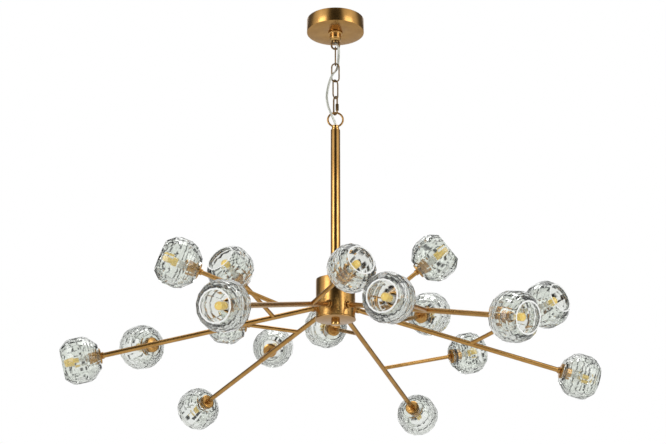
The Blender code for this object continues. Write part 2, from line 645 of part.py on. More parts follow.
def cavity_profile():
    """Hollow of the shade with its neck hole, running past both faces."""
    neck = hole_for(SOCKET_RADIUS, 12) + NECK_CLEARANCE
    mouth = mouth_radius() - MOUTH_RIM
    past = 2 * CUT_PAST
    bowl_end = SHADE_LENGTH - MOUTH_RIM
    points = [(0.0, -past), (neck, -past), (neck, NECK_THICKNESS)]
    start = math.radians(-52.0)
    lean_end = math.acos(min(1.0, mouth / CAVITY_RADIUS))
    floor_rise = SHADE_CENTRE - NECK_THICKNESS
    for step in range(CAVITY_STEPS + 1):
        angle = start + (lean_end - start) * step / CAVITY_STEPS
        if angle > 0:
            stretch = (bowl_end - SHADE_CENTRE) / math.sin(lean_end)
        else:
            stretch = floor_rise / math.sin(-start)
        points.append((CAVITY_RADIUS * math.cos(angle), SHADE_CENTRE + stretch * math.sin(angle)))
    points += [(mouth, SHADE_LENGTH + past), (0.0, SHADE_LENGTH + past)]
    return points


def make_shades_and_lamps():
    ball = add_object("shade_pattern", cut_ball(), CRYSTAL, smooth_angle=None)
    cavity = tool("shade_cavity", turned("shade_cavity", cavity_profile(), 12))
    boolean(ball, [cavity], "DIFFERENCE")
    shade_mesh = baked_mesh(ball, "cut_shade")
    bpy.data.objects.remove(ball)
    bpy.data.objects.remove(cavity)

    tip = 0.0030
    lamp_profile = [
        (0.0, HOLDER_START), (HOLDER_RADIUS, HOLDER_START), (HOLDER_RADIUS, HOLDER_END),
        (LAMP_RADIUS, HOLDER_END), (LAMP_RADIUS, LAMP_END - tip), (LAMP_RADIUS * 0.7, LAMP_END - tip * 0.3),
        (0.0, LAMP_END),
    ]
    lamp_mesh = turned("capsule_lamp", lamp_profile, 8)
    seat = Matrix.Translation((0.0, 0.0, DISH_THICKNESS + GAP))
    for index in range(ARM_COUNT):
        for name, reach in LIGHTS.items():
            frame = clocked_frame(index) @ light_frame(*reach)
            add_object(f"shade_{index + 1}_{name}", shade_mesh, CRYSTAL, frame @ seat, smooth_angle=None)
            add_object(f"lamp_{index + 1}_{name}", lamp_mesh, LAMP_WHITE, frame)


# ---------------------------------------------------------------- lead

def smooth_route(route, spacing):
    """Evenly spaced points on a Catmull-Rom curve through the route."""
    ends = [route[0] * 2 - route[1]] + route + [route[-1] * 2 - route[-2]]
    dense = []
    for before, first, second, after in zip(ends, ends[1:], ends[2:], ends[3:]):
        for step in range(24):
            t = step / 24
            dense.append(0.5 * (2 * first + (second - before) * t
                                + (2 * before - 5 * first + 4 * second - after) * t ** 2
                                + (3 * first - before - 3 * second + after) * t ** 3))
    dense.append(route[-1])
    travelled = [0.0]
    for first, second in zip(dense, dense[1:]):
        travelled.append(travelled[-1] + (second - first).length)
    count = max(2, round(travelled[-1] / spacing))
    points, seek = [], 0
    for step in range(count + 1):
        target = travelled[-1] * step / count
        while seek < len(travelled) - 2 and travelled[seek + 1] < target:
            seek += 1
        share = (target - travelled[seek]) / (travelled[seek + 1] - travelled[seek])
        points.append(dense[seek].lerp(dense[seek + 1], share))
    return points


def make_cord():
    points = smooth_route([Vector(point) for point in CORD_ROUTE], CORD_POINT_SPACING)
    curve = wire_curve("power_cord", points, CORD_DIAMETER, closed=False)
    add_object("power_cord", curve, CLEAR_CORD)


make_bracket()
make_canopy()
make_nipple()
make_locknut()
make_collar()
make_canopy_loop()
make_chain()
make_quick_link()
make_sleeve()
make_stem_ring()
make_stem()
make_hub()
make_plate()
make_tie_rod()
make_finial()
make_arms()
make_shades_and_lamps()
make_cord()
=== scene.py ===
"""Looks of a chandelier with cut-crystal cup shades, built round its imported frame.

Every place is read off the frame's solids; what is set here is shape detail and finish.
"""

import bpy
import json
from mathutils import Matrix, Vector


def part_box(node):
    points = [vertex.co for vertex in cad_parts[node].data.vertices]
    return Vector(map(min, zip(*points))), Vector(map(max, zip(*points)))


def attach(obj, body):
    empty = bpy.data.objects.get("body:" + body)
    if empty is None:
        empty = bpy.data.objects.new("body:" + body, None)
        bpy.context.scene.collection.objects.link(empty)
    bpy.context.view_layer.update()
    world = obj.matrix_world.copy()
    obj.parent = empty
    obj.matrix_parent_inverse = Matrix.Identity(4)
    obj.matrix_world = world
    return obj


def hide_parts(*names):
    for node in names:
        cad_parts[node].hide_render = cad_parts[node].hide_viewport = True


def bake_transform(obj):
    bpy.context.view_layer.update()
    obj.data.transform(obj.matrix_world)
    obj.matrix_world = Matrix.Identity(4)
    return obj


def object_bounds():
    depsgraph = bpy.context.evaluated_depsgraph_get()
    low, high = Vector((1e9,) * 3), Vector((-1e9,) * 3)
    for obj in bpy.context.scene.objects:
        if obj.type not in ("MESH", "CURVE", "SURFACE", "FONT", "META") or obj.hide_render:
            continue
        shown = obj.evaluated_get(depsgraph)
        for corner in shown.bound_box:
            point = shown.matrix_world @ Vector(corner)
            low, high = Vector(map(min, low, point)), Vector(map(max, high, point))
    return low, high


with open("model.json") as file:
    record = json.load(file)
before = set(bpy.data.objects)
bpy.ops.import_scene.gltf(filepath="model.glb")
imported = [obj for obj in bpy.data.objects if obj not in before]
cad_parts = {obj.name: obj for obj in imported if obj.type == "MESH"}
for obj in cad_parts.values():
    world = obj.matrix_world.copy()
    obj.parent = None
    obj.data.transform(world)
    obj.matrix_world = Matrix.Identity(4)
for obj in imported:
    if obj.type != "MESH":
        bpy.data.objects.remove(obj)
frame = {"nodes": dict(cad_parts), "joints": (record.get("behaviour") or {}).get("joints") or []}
cad_box = [list(corner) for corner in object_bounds()]

import json
import math

import bmesh
import bpy
import numpy as np
from bpy.props import FloatProperty, FloatVectorProperty, IntProperty, PointerProperty
from mathutils import Matrix, Vector
from mathutils.geometry import intersect_line_line

bl_info = {
    "name": "Crystal Cup Chandelier",
    "version": (1, 0, 0),
    "blender": (4, 5, 0),
    "location": "View3D > Sidebar > Chandelier",
    "description": "Builds the visible pieces, finishes and studio of a crystal cup chandelier",
    "category": "Add Mesh",
}

MM = 0.001
ARMS = range(1, 7)
LIGHTS = ("main", "near", "far")
BODY_BELOW = "fixture"

# the lead's route, point for point as in the part
LEAD_ROUTE = [
    (0.0000, 0.0000, -0.0030), (0.0000, 0.0000, -0.0250), (0.0000, 0.0000, -0.0450),
    (0.0003, -0.0005, -0.0525), (0.0032, -0.0044, -0.0580), (0.0063, -0.0062, -0.0650),
    (0.0070, -0.0035, -0.0800),
    (0.0060, 0.0030, -0.0920), (0.0052, 0.0062, -0.1010), (0.0030, 0.0055, -0.1100),
    (-0.0008, 0.0000, -0.1185), (-0.0052, -0.0056, -0.1265), (-0.0100, -0.0068, -0.1370),
    (-0.0148, -0.0066, -0.1550), (-0.0176, -0.0062, -0.1730), (-0.0176, -0.0062, -0.1840),
    (-0.0148, -0.0064, -0.2000), (-0.0108, -0.0066, -0.2115), (-0.0062, -0.0052, -0.2225),
    (-0.0018, -0.0018, -0.2325), (0.0000, 0.0000, -0.2425), (0.0000, 0.0000, -0.2640),
]
CHAIN_BODIES = ("ceiling", "chain_link_1", "chain_link_2", "chain_link_3", "quick_link",
                BODY_BELOW)


# ------------------------------------------------------------------ settings

def size(name, description, default):
    return FloatProperty(name=name, description=description, default=default, min=0.0,
                         unit="LENGTH")


def colour(name, description, default):
    return FloatVectorProperty(name=name, description=description, default=default, min=0.0,
                               max=1.0,
                               size=3, subtype="COLOR")


class ChandelierSizes(bpy.types.PropertyGroup):
    hub_radius: size("Hub radius", "Outside of the hub's drum", 39.0 * MM)
    boss_radius: size("Boss radius", "Ring round an arm where it enters the hub", 8.6 * MM)
    arm_radius: size("Arm radius", "Outside of an arm's main tube", 5.0 * MM)
    branch_radius: size("Branch radius", "Outside of a branch tube", 4.0 * MM)
    dish_radius: size("Dish radius", "Seat behind the glass", 15.0 * MM)
    socket_radius: size("Socket radius", "Brass cup inside the glass", 11.7 * MM)
    link_wire: size("Link wire", "Thickness of the chain's wire", 3.0 * MM)
    quick_wire: size("Quick link wire", "Thickness of the quick link's wire", 3.5 * MM)
    loop_wire: size("Loop wire", "Thickness of the canopy loop and the stem ring", 4.0 * MM)
    shade_radius: size("Shade radius", "Radius of the ball that the shade is ground from",
                       45.0 * MM)
    facet_depth: size("Facet depth", "How deep each facet is ground into the ball", 1.5 * MM)
    facets_around: IntProperty(name="Facets around", description="Long facets in each row",
                               default=16, min=6)
    lead_width: size("Lead width", "Across both conductors of the flat lead", 5.0 * MM)
    lead_twist: size("Lead twist", "Length of one full turn of the flat lead", 190.0 * MM)


class ChandelierFinishes(bpy.types.PropertyGroup):
    satin: colour("Satin brass", "Canopy, stem, hub and arms", (0.53, 0.30, 0.095))
    satin_deep: colour("Satin brass, deep", "Darker tone in the satin brass", (0.40, 0.212, 0.060))
    polished: colour("Polished brass", "Collar, finial and ferrule", (0.62, 0.38, 0.13))
    antique: colour("Antique brass", "Chain and quick link", (0.30, 0.19, 0.08))
    antique_deep: colour("Antique brass, deep", "Hollows of the chain", (0.12, 0.072, 0.032))
    crystal: colour("Crystal", "Tint of the thick glass", (0.90, 0.925, 0.885))
    phosphor: colour("Phosphor", "Yellow body of a lamp", (0.98, 0.70, 0.17))
    ceramic: colour("Ceramic", "Lampholder", (0.86, 0.85, 0.80))
    zinc: colour("Zinc", "Bracket and nipple", (0.60, 0.60, 0.58))
    lead: colour("Lead", "Tinned strands in the clear sheath", (0.60, 0.61, 0.53))


class ChandelierStudio(bpy.types.PropertyGroup):
    floor: colour("Floor", "Pale floor", (0.86, 0.86, 0.85))
    floor_drop: size("Floor drop", "Floor below the light", 1.30)
    camera_drop: size("Camera drop", "Camera below the ceiling", 1.384)
    camera_back: size("Camera distance", "Camera in front of the stem", 2.719)
    camera_pitch: FloatProperty(name="Camera pitch", description="Upward tilt", unit="ROTATION",
                                default=math.radians(18.96))
    camera_turn: FloatProperty(name="Camera turn", description="Turn to the left", unit="ROTATION",
                               default=math.radians(0.106))
    camera_lens: FloatProperty(name="Camera lens", description="Focal length in mm", default=77.3,
                               min=1.0)


def sizes():
    return bpy.context.scene.chandelier_sizes


def finishes():
    return bpy.context.scene.chandelier_finishes


def studio():
    return bpy.context.scene.chandelier_studio


# ------------------------------------------------------------------ places, read off the frame

def span(node):
    """Lowest and highest height of a node."""
    low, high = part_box(node)
    return low.z, high.z


def corner_points(node):
    """A node's corners, each once."""
    points = {tuple(round(c, 6) for c in v.co) for v in frame["nodes"][node].data.vertices}
    return np.array(sorted(points))


def light_frame(light):
    """Frame at a tube's outer end, +Z out of the shade's mouth, read off the round lamp."""
    lamp, shade = corner_points(f"lamp_{light}"), corner_points(f"shade_{light}")
    centre = lamp.mean(axis=0)
    way = np.linalg.svd(lamp - centre)[2][0]

    def overhang(direction):
        return ((shade - centre) @ direction).max() - ((lamp - centre) @ direction).max()

    if overhang(way) < overhang(-way):
        way = -way
    base = Vector(centre + way * (((lamp - centre) @ way).min() - HOLDER_START))
    axis = Vector(way).normalized()
    side = axis.cross(Vector((0, 0, 1))).normalized()
    return Matrix.Translation(base) @ Matrix((side, axis.cross(side), axis)).transposed().to_4x4()


def frame_along(start, end):
    """Frame at start with +Z towards end."""
    return Matrix.Translation(start) @ (end - start).to_track_quat("Z", "Y").to_matrix().to_4x4()


# ------------------------------------------------------------------ modelling helpers

def softened(profile, amount):
    """The profile with each corner that isn't on the axis rounded by a short arc."""
    points = [Vector(point) for point in profile]
    closed = (points[0] - points[-1]).length < 1e-9
    if closed:
        points.pop()
    result = []
    for index, here in enumerate(points):
        before, after = points[index - 1], points[(index + 1) % len(points)]
        at_end = not closed and index in (0, len(points) - 1)
        if at_end or here.x < 1e-9:
            result.append(here)
            continue
        reach = min(amount, (before - here).length * 0.45, (after - here).length * 0.45)
        first = here + (before - here).normalized() * reach
        last = here + (after - here).normalized() * reach
        result += [first, first.lerp(here, 0.5).lerp(here.lerp(last, 0.5), 0.5), last]
    return result + result[:1] if closed else result


def add_shell(bm, shell, matrix, material):
    """Closes a shell, points its faces outwards and adds it, in its place, to the piece."""
    bmesh.ops.remove_doubles(shell, verts=shell.verts, dist=1e-7)
    bmesh.ops.recalc_face_normals(shell, faces=shell.faces)
    for face in shell.faces:
        face.material_index = material
    bmesh.ops.transform(shell, matrix=matrix, verts=shell.verts)
    mesh = bpy.data.meshes.new("shell")
    shell.to_mesh(mesh)
    shell.free()
    bm.from_mesh(mesh)
    bpy.data.meshes.remove(mesh)


def turn_profile(bm, profile, steps=48, matrix=Matrix.Identity(4), material=0, soft=0.0):
    """Adds a closed body turned about its own Z from (radius, height) points."""
    shell = bmesh.new()
    points = softened(profile, soft) if soft else [Vector(point) for point in profile]
    closed = (points[0] - points[-1]).length < 1e-9
    if closed:
        points = points[:-1]
    line = [shell.verts.new((point.x, 0.0, point.y)) for point in points]
    edges = [shell.edges.new(pair) for pair in zip(line, line[1:])]
    if closed:
        edges.append(shell.edges.new((line[-1], line[0])))
    bmesh.ops.spin(shell, geom=line + edges, cent=(0, 0, 0), axis=(0, 0, 1), angle=math.tau,
                   steps=steps, use_merge=True)
    add_shell(bm, shell, matrix, material)


def tube_profile(radius, start, end):
    return [(0.0, start), (radius, start), (radius, end), (0.0, end)]


def sweep_wire(bm, wire, start, moves, closed, matrix=Matrix.Identity(4), material=0,
               round_steps=16):
    """Adds a round wire in the XZ plane that starts upright at (x, z) and follows moves.

    A length runs along Z; (centre_x, centre_z, angle) bends about that centre.
    """
    shell = bmesh.new()
    place = Matrix.Translation((start[0], 0.0, start[1]))
    ring = bmesh.ops.create_circle(shell, segments=round_steps, radius=wire / 2, matrix=place)
    verts = ring["verts"]
    edges = list({edge for v in verts for edge in v.link_edges})
    first_rim = edges
    for move in moves:
        if isinstance(move, tuple):
            x, z, angle = move
            fresh = bmesh.ops.spin(shell, geom=verts + edges, cent=(x, 0.0, z), axis=(0, -1, 0),
                                   angle=angle, steps=max(4, int(abs(angle) * 7)),
                                   use_merge=False)["geom_last"]
        else:
            fresh = bmesh.ops.extrude_edge_only(shell, edges=edges)["geom"]
        verts = [item for item in fresh if isinstance(item, bmesh.types.BMVert)]
        edges = [item for item in fresh if isinstance(item, bmesh.types.BMEdge)
                 and all(v in verts for v in item.verts)]
        if not isinstance(move, tuple):
            bmesh.ops.translate(shell, vec=(0.0, 0.0, move), verts=verts)
    if not closed:
        for rim in (first_rim, edges):
            bmesh.ops.contextual_create(shell, geom=rim)
    add_shell(bm, shell, matrix, material)


def piece(name, bm, materials, body, nodes, sharp=35.0):
    """Finished piece: smooth with crisp edges, riding on its body and standing for its nodes."""
    mesh = bpy.data.meshes.new(name)
    bm.to_mesh(mesh)
    bm.free()
    return place_piece(name, mesh, materials, body, nodes, sharp)


def place_piece(name, mesh, materials, body, nodes, sharp=35.0):
    for material in materials:
        mesh.materials.append(material)
    mesh.shade_smooth()
    mesh.set_sharp_from_angle(angle=math.radians(sharp))
    made = bpy.data.objects.new(name, mesh)
    bpy.context.scene.collection.objects.link(made)
    if body:
        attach(made, body)
    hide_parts(*nodes)
    return made


# ------------------------------------------------------------------ finishes

def add_node(tree, kind, setup=None, **sockets):
    """Adds a node; a keyword names an input (_ for a space) or its number (n0, n1)."""
    made = tree.nodes.new(kind)
    for key, value in (setup or {}).items():
        setattr(made, key, value)
    for key, value in sockets.items():
        by_number = key[0] == "n" and key[1:].isdigit()
        socket = made.inputs[int(key[1:])] if by_number else made.inputs[key.replace("_", " ")]
        if isinstance(value, bpy.types.NodeSocket):
            tree.links.new(value, socket)
        else:
            socket.default_value = value
    return made


def math_node(tree, operation, *values):
    """Result of a math node on the given values."""
    sockets = {f"n{index}": value for index, value in enumerate(values)}
    return add_node(tree, "ShaderNodeMath", {"operation": operation}, **sockets).outputs[0]


def mix_tones(tree, share, first, second):
    """Colour that runs from first to second as share rises from 0 to 1."""
    return add_node(tree, "ShaderNodeMix", {"data_type": "RGBA"}, n0=share, n6=first,
                    n7=second).outputs[2]


def new_group(name, inputs, outputs):
    """Empty shader group; inputs and outputs are (name, socket type, default)."""
    group = bpy.data.node_groups.new(name, "ShaderNodeTree")
    for label, kind, default in inputs:
        socket = group.interface.new_socket(label, in_out="INPUT", socket_type=kind)
        socket.default_value = default
    for label, kind in outputs:
        group.interface.new_socket(label, in_out="OUTPUT", socket_type=kind)
    given = group.nodes.new("NodeGroupInput").outputs
    return group, given, group.nodes.new("NodeGroupOutput").inputs


def lathe_grain_group():
    """Fine rings left by brushing a part as it spins about the light's axis."""
    group, given, result = new_group(
        "lathe_grain", [("Rings", "NodeSocketFloat", 2600.0), ("Drift", "NodeSocketFloat", 2.0)],
        [("Grain", "NodeSocketFloat")])
    place = add_node(group, "ShaderNodeTexCoord").outputs["Object"]
    split = add_node(group, "ShaderNodeSeparateXYZ", n0=place).outputs
    flat = add_node(group, "ShaderNodeCombineXYZ", n0=split[0], n1=split[1], n2=0.0).outputs[0]
    radius = add_node(group, "ShaderNodeVectorMath", {"operation": "LENGTH"},
                      n0=flat).outputs["Value"]
    angle = math_node(group, "ARCTAN2", split[1], split[0])
    stretches = ((radius, given["Rings"]), (angle, given["Drift"]), (split[2], given["Rings"]))
    scaled = [math_node(group, "MULTIPLY", value, by) for value, by in stretches]
    vector = add_node(group, "ShaderNodeCombineXYZ", n0=scaled[0], n1=scaled[1],
                      n2=scaled[2]).outputs[0]
    noise = add_node(group, "ShaderNodeTexNoise", Vector=vector, Scale=1.0, Detail=3.0,
                     Roughness=0.6)
    group.links.new(noise.outputs["Fac"], result["Grain"])
    return group


def even_grain_group():
    """Fine even grain of a tumbled or hand-rubbed surface."""
    group, given, result = new_group("even_grain", [("Fineness", "NodeSocketFloat", 1500.0)],
                                     [("Grain", "NodeSocketFloat")])
    place = add_node(group, "ShaderNodeTexCoord").outputs["Object"]
    noise = add_node(group, "ShaderNodeTexNoise", Vector=place, Scale=given["Fineness"],
                     Detail=3.0)
    group.links.new(noise.outputs["Fac"], result["Grain"])
    return group


def metal_wear_group():
    """Slow change of tone and shine over a metal surface, with a little of the grain in both."""
    group, given, result = new_group(
        "metal_wear",
        [("Tone", "NodeSocketColor", (1, 1, 1, 1)), ("Deep Tone", "NodeSocketColor", (0, 0, 0, 1)),
         ("Grain", "NodeSocketFloat", 0.5), ("Patch Scale", "NodeSocketFloat", 30.0),
         ("Shine Low", "NodeSocketFloat", 0.2), ("Shine High", "NodeSocketFloat", 0.3)],
        [("Color", "NodeSocketColor"), ("Roughness", "NodeSocketFloat")])
    place = add_node(group, "ShaderNodeTexCoord").outputs["Object"]
    patch = add_node(group, "ShaderNodeTexNoise", Vector=place, Scale=given["Patch Scale"],
                     Detail=4.0).outputs["Fac"]
    both = add_node(group, "ShaderNodeMix", {"data_type": "FLOAT"}, n0=0.45, n2=patch,
                    n3=given["Grain"]).outputs[0]
    mask = add_node(group, "ShaderNodeMapRange", Value=both, From_Min=0.38,
                    From_Max=0.62).outputs[0]
    tone = mix_tones(group, mask, given["Deep Tone"], given["Tone"])
    shine = add_node(group, "ShaderNodeMapRange", Value=both, From_Min=0.3, From_Max=0.7,
                     To_Min=given["Shine High"], To_Max=given["Shine Low"]).outputs[0]
    group.links.new(tone, result["Color"])
    group.links.new(shine, result["Roughness"])
    return group


def shared_group(name, build):
    return bpy.data.node_groups.get(name) or build()


def empty_material(name):
    material = bpy.data.materials.new(name)
    material.use_nodes = True
    return material, material.node_tree, material.node_tree.nodes["Principled BSDF"]


def even_grain(tree, fineness):
    """The even grain of a material, as a height or a mask."""
    group = shared_group("even_grain", even_grain_group)
    return add_node(tree, "ShaderNodeGroup", {"node_tree": group},
                    Fineness=fineness).outputs["Grain"]


def add_bump(tree, shader, height, strength, distance):
    bump = add_node(tree, "ShaderNodeBump", Strength=strength, Distance=distance, Height=height)
    tree.links.new(bump.outputs["Normal"], shader.inputs["Normal"])


def metal(name, tone, deep, shine, grain="lathe_grain", relief=0.08, patch=30.0, **grain_inputs):
    """Metal with its own tones; shine is the lowest and highest roughness."""
    material, tree, shader = empty_material(name)
    build = {"lathe_grain": lathe_grain_group, "even_grain": even_grain_group}[grain]
    source = add_node(tree, "ShaderNodeGroup", {"node_tree": shared_group(grain, build)},
                      **grain_inputs)
    wear = add_node(tree, "ShaderNodeGroup",
                    {"node_tree": shared_group("metal_wear", metal_wear_group)},
                    Tone=(*tone, 1.0), Deep_Tone=(*deep, 1.0), Grain=source.outputs["Grain"],
                    Patch_Scale=patch, Shine_Low=shine[0], Shine_High=shine[1])
    tree.links.new(wear.outputs["Color"], shader.inputs["Base Color"])
    tree.links.new(wear.outputs["Roughness"], shader.inputs["Roughness"])
    shader.inputs["Metallic"].default_value = 1.0
    add_bump(tree, shader, source.outputs["Grain"], relief, 0.02 * MM)
    return material


def satin_brass():
    return bpy.data.materials.get("turned_brass") or metal(
        "turned_brass", finishes().satin, finishes().satin_deep, (0.17, 0.28))


def rubbed_brass():
    """Satin brass of the arms, rubbed by hand rather than turned."""
    return bpy.data.materials.get("rubbed_brass") or metal(
        "rubbed_brass", finishes().satin, finishes().satin_deep, (0.20, 0.30), "even_grain", 0.05,
        45.0)


def polished_brass():
    return bpy.data.materials.get("bright_brass") or metal(
        "bright_brass", finishes().polished, finishes().satin, (0.06, 0.12), relief=0.02,
        patch=60.0)


def antique_brass():
    return bpy.data.materials.get("aged_brass") or metal(
        "aged_brass", finishes().antique, finishes().antique_deep, (0.22, 0.42), "even_grain",
        0.15,
        160.0, Fineness=900.0)


def zinc_plate():
    return bpy.data.materials.get("zinc_plate") or metal(
        "zinc_plate", finishes().zinc, [c * 0.7 for c in finishes().zinc], (0.28, 0.42),
        "even_grain", 0.2, 80.0)


def crystal_glass():
    """Clear thick glass with the faint waviness of hand polishing."""
    if "crystal_glass" in bpy.data.materials:
        return bpy.data.materials["crystal_glass"]
    material, tree, shader = empty_material("crystal_glass")
    shader.inputs["Base Color"].default_value = (*finishes().crystal, 1.0)
    shader.inputs["Roughness"].default_value = 0.0
    shader.inputs["IOR"].default_value = 1.50
    shader.inputs["Transmission Weight"].default_value = 0.98
    add_bump(tree, shader, even_grain(tree, 70.0), 0.25, 0.5 * MM)
    return material


def ground_edge():
    """Mouth rim, white all over as a painted highlight where the glass edge catches the light;
    slightly rough.
    """
    if "ground_edge" in bpy.data.materials:
        return bpy.data.materials["ground_edge"]
    material, tree, shader = empty_material("ground_edge")
    # painted highlight: the rim's white colour stands for the light caught by the glass edge
    shader.inputs["Base Color"].default_value = (0.97, 0.98, 0.96, 1.0)
    shader.inputs["Roughness"].default_value = 0.42
    shader.inputs["Transmission Weight"].default_value = 0.05
    add_bump(tree, shader, even_grain(tree, 1800.0), 0.4, 0.05 * MM)
    return material


def plain_body(name, tone, roughness, fineness, depth, coat=0.0, transmission=0.0, glow=0.0):
    """Ceramic, phosphor and lamp glass: a body colour that varies a little, and a fine surface."""
    if name in bpy.data.materials:
        return bpy.data.materials[name]
    material, tree, shader = empty_material(name)
    grain = even_grain(tree, fineness)
    if transmission:
        shader.inputs["Base Color"].default_value = (*tone, 1.0)
        shader.inputs["Transmission Weight"].default_value = transmission
    else:
        deep = [c * 0.86 for c in tone]
        tone_mix = mix_tones(tree, grain, (*deep, 1.0), (*tone, 1.0))
        tree.links.new(tone_mix, shader.inputs["Base Color"])
    shader.inputs["Roughness"].default_value = roughness
    shader.inputs["Coat Weight"].default_value = coat
    if glow:
        shader.inputs["Emission Color"].default_value = (*tone, 1.0)
        shader.inputs["Emission Strength"].default_value = glow
    add_bump(tree, shader, grain, 0.3, depth)
    return material


# radians of the strands' lay for each metre of lead
STRAND_LAY = 2300.0


def strand_material():
    """Tinned strands seen through a clear glossy sheath, with painted shade in the grooves between
    strands; the lay follows the lead's own length.
    """
    if "sheathed_strands" in bpy.data.materials:
        return bpy.data.materials["sheathed_strands"]
    material, tree, shader = empty_material("sheathed_strands")
    run = add_node(tree, "ShaderNodeAttribute", {"attribute_name": "lead_run"}).outputs["Fac"]
    turn = add_node(tree, "ShaderNodeAttribute", {"attribute_name": "lead_turn"}).outputs["Fac"]
    lay = math_node(tree, "MULTIPLY_ADD", run, STRAND_LAY, turn)
    wave = math_node(tree, "SINE", lay)
    height = add_node(tree, "ShaderNodeMapRange", Value=wave, From_Min=-1.0,
                      From_Max=1.0).outputs[0]
    # painted shade: the strands' tone darkens towards the grooves between them, following the
    # bump's height
    dark = [c * 0.62 for c in finishes().lead]
    tone = mix_tones(tree, height, (*dark, 1.0), (*finishes().lead, 1.0))
    tree.links.new(tone, shader.inputs["Base Color"])
    shader.inputs["Metallic"].default_value = 0.35
    shader.inputs["Roughness"].default_value = 0.3
    shader.inputs["Coat Weight"].default_value = 1.0
    shader.inputs["Coat Roughness"].default_value = 0.06
    add_bump(tree, shader, height, 0.35, 0.15 * MM)
    return material


# ------------------------------------------------------------------ ceiling fitting and chain

# radii of the holes for the threaded nipple and for the lead
NIPPLE_HOLE = 5.4 * MM
LEAD_BORE = 3.4 * MM


def build_canopy():
    bottom, top = span("canopy")
    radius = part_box("canopy")[1].x
    wall = 1.2 * MM
    bm = bmesh.new()
    turn_profile(bm, [
        (NIPPLE_HOLE, bottom), (radius, bottom), (radius, top), (radius - wall, top),
        (radius - wall, bottom + wall), (NIPPLE_HOLE, bottom + wall), (NIPPLE_HOLE, bottom),
    ], steps=128, soft=0.9 * MM)
    piece("canopy_cup", bm, [satin_brass()], "ceiling", ["canopy"])


def build_collar():
    bottom, top = span("canopy_collar")
    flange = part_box("canopy_collar")[1].x
    body, end, bore = 12.2 * MM, 9.4 * MM, 7.35 * MM
    bm = bmesh.new()
    turn_profile(bm, [
        (NIPPLE_HOLE, top), (flange, top), (flange, top - 2.6 * MM),
        (flange - 1.2 * MM, top - 3.2 * MM),
        (body, top - 3.6 * MM), (body, bottom + 6.2 * MM), (body - 0.9 * MM, bottom + 5.4 * MM),
        (body - 0.9 * MM, bottom + 4.6 * MM), (body - 0.3 * MM, bottom + 3.8 * MM), (end, bottom),
        (bore, bottom), (bore, bottom + 5.4 * MM), (NIPPLE_HOLE, bottom + 5.4 * MM),
        (NIPPLE_HOLE, top),
    ], steps=72, soft=0.5 * MM)
    piece("collar_nut", bm, [polished_brass()], "ceiling", ["canopy_collar"])


def build_hook():
    """Wire bent to a U, its ends turned in to a bored plug."""
    low, high = span("canopy_loop")
    wire = sizes().loop_wire
    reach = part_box("canopy_loop")[1].x - wire / 2
    collar_bottom = span("canopy_collar")[0]
    shoulder = collar_bottom - 0.3 * MM - wire / 2
    bend = low + wire / 2 + reach
    bm = bmesh.new()
    sweep_wire(bm, wire, (reach, shoulder),
               [bend - shoulder, (0.0, bend, -math.pi), shoulder - bend], False,
               round_steps=20)
    for side in (-1, 1):
        across = frame_along(Vector((0.0, 0.0, shoulder)), Vector((side, 0.0, shoulder)))
        turn_profile(bm, [(0.0, 4.0 * MM), (wire / 2, 4.0 * MM), (wire / 2, reach),
                          (0.0, reach + wire / 2)],
                     24, across, soft=1.0 * MM)
    plug = 7.0 * MM
    turn_profile(bm, [(LEAD_BORE, shoulder - wire / 2), (plug - 0.6 * MM, shoulder - wire / 2),
                      (plug, shoulder), (plug, high), (LEAD_BORE, high),
                      (LEAD_BORE, shoulder - wire / 2)],
                 40, soft=0.4 * MM)
    piece("canopy_hook", bm, [antique_brass()], "ceiling", ["canopy_loop"])


def build_links():
    """Three oval links, each with the small bead of its weld half way up one side."""
    wire = sizes().link_wire
    for name in CHAIN_BODIES[1:4]:
        low, high = span(name)
        points = corner_points(name)
        far = points[np.hypot(points[:, 0], points[:, 1]).argmax()]
        width = 2 * math.hypot(far[0], far[1])
        turned = Matrix.Rotation(math.atan2(far[1], far[0]), 4, "Z")
        reach = width / 2 - wire / 2
        straight = (high - low) - width
        bm = bmesh.new()
        sweep_wire(bm, wire, (reach, low + width / 2),
                   [straight, (0.0, high - width / 2, math.pi), -straight,
                    (0.0, low + width / 2, math.pi)],
                   True, turned)
        middle = Matrix.Translation((reach, 0.0, (low + high) / 2))
        turn_profile(bm, [(0.0, -1.6 * MM), (wire * 0.42, -1.5 * MM), (wire * 0.535, -0.6 * MM),
                          (wire * 0.535, 0.6 * MM), (wire * 0.42, 1.5 * MM), (0.0, 1.6 * MM)],
                     16, turned @ middle, soft=0.3 * MM)
        piece(f"{name}_wire", bm, [antique_brass()], name, [name])


def quick_link_frame():
    """Frame of the quick link, +X towards its gate, and how far out the gate's leg is."""
    low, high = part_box("quick_link_sleeve")
    centre = (low + high) / 2
    return Matrix.Rotation(math.atan2(centre.y, centre.x), 4, "Z"), math.hypot(centre.x, centre.y)


def build_quick_link():
    wire = sizes().quick_wire
    low, high = span("quick_link")
    turned, reach = quick_link_frame()
    foot, opening = low + 10.4 * MM, 5.0 * MM
    bend_low, bend_high = low + reach + wire / 2, high - reach - wire / 2
    bm = bmesh.new()
    sweep_wire(bm, wire, (reach, foot + opening),
               [bend_high - foot - opening, (0.0, bend_high, math.pi), bend_low - bend_high,
                (0.0, bend_low, math.pi), foot - bend_low], False, turned)
    piece("quick_link_wire", bm, [antique_brass()], "quick_link", ["quick_link"])


def build_sleeve():
    """Hexagonal sleeve nut with chamfered ends."""
    low, high = span("quick_link_sleeve")
    turned, reach = quick_link_frame()
    bore, flat, chamfer = 2.05 * MM, 3.4 * MM, 0.7 * MM
    bm = bmesh.new()
    turn_profile(bm, [(bore, low), (flat - chamfer, low), (flat, low + chamfer),
                      (flat, high - chamfer),
                      (flat - chamfer, high), (bore, high), (bore, low)], 6,
                 turned @ Matrix.Translation((reach, 0.0, 0.0)))
    bmesh.ops.bevel(bm, geom=bm.edges[:], offset=0.18 * MM, segments=2, affect="EDGES",
                    profile=0.5,
                    material=-1)
    piece("gate_sleeve", bm, [antique_brass()], "quick_link_sleeve",
          ["quick_link_sleeve"])


# ------------------------------------------------------------------ stem and hub

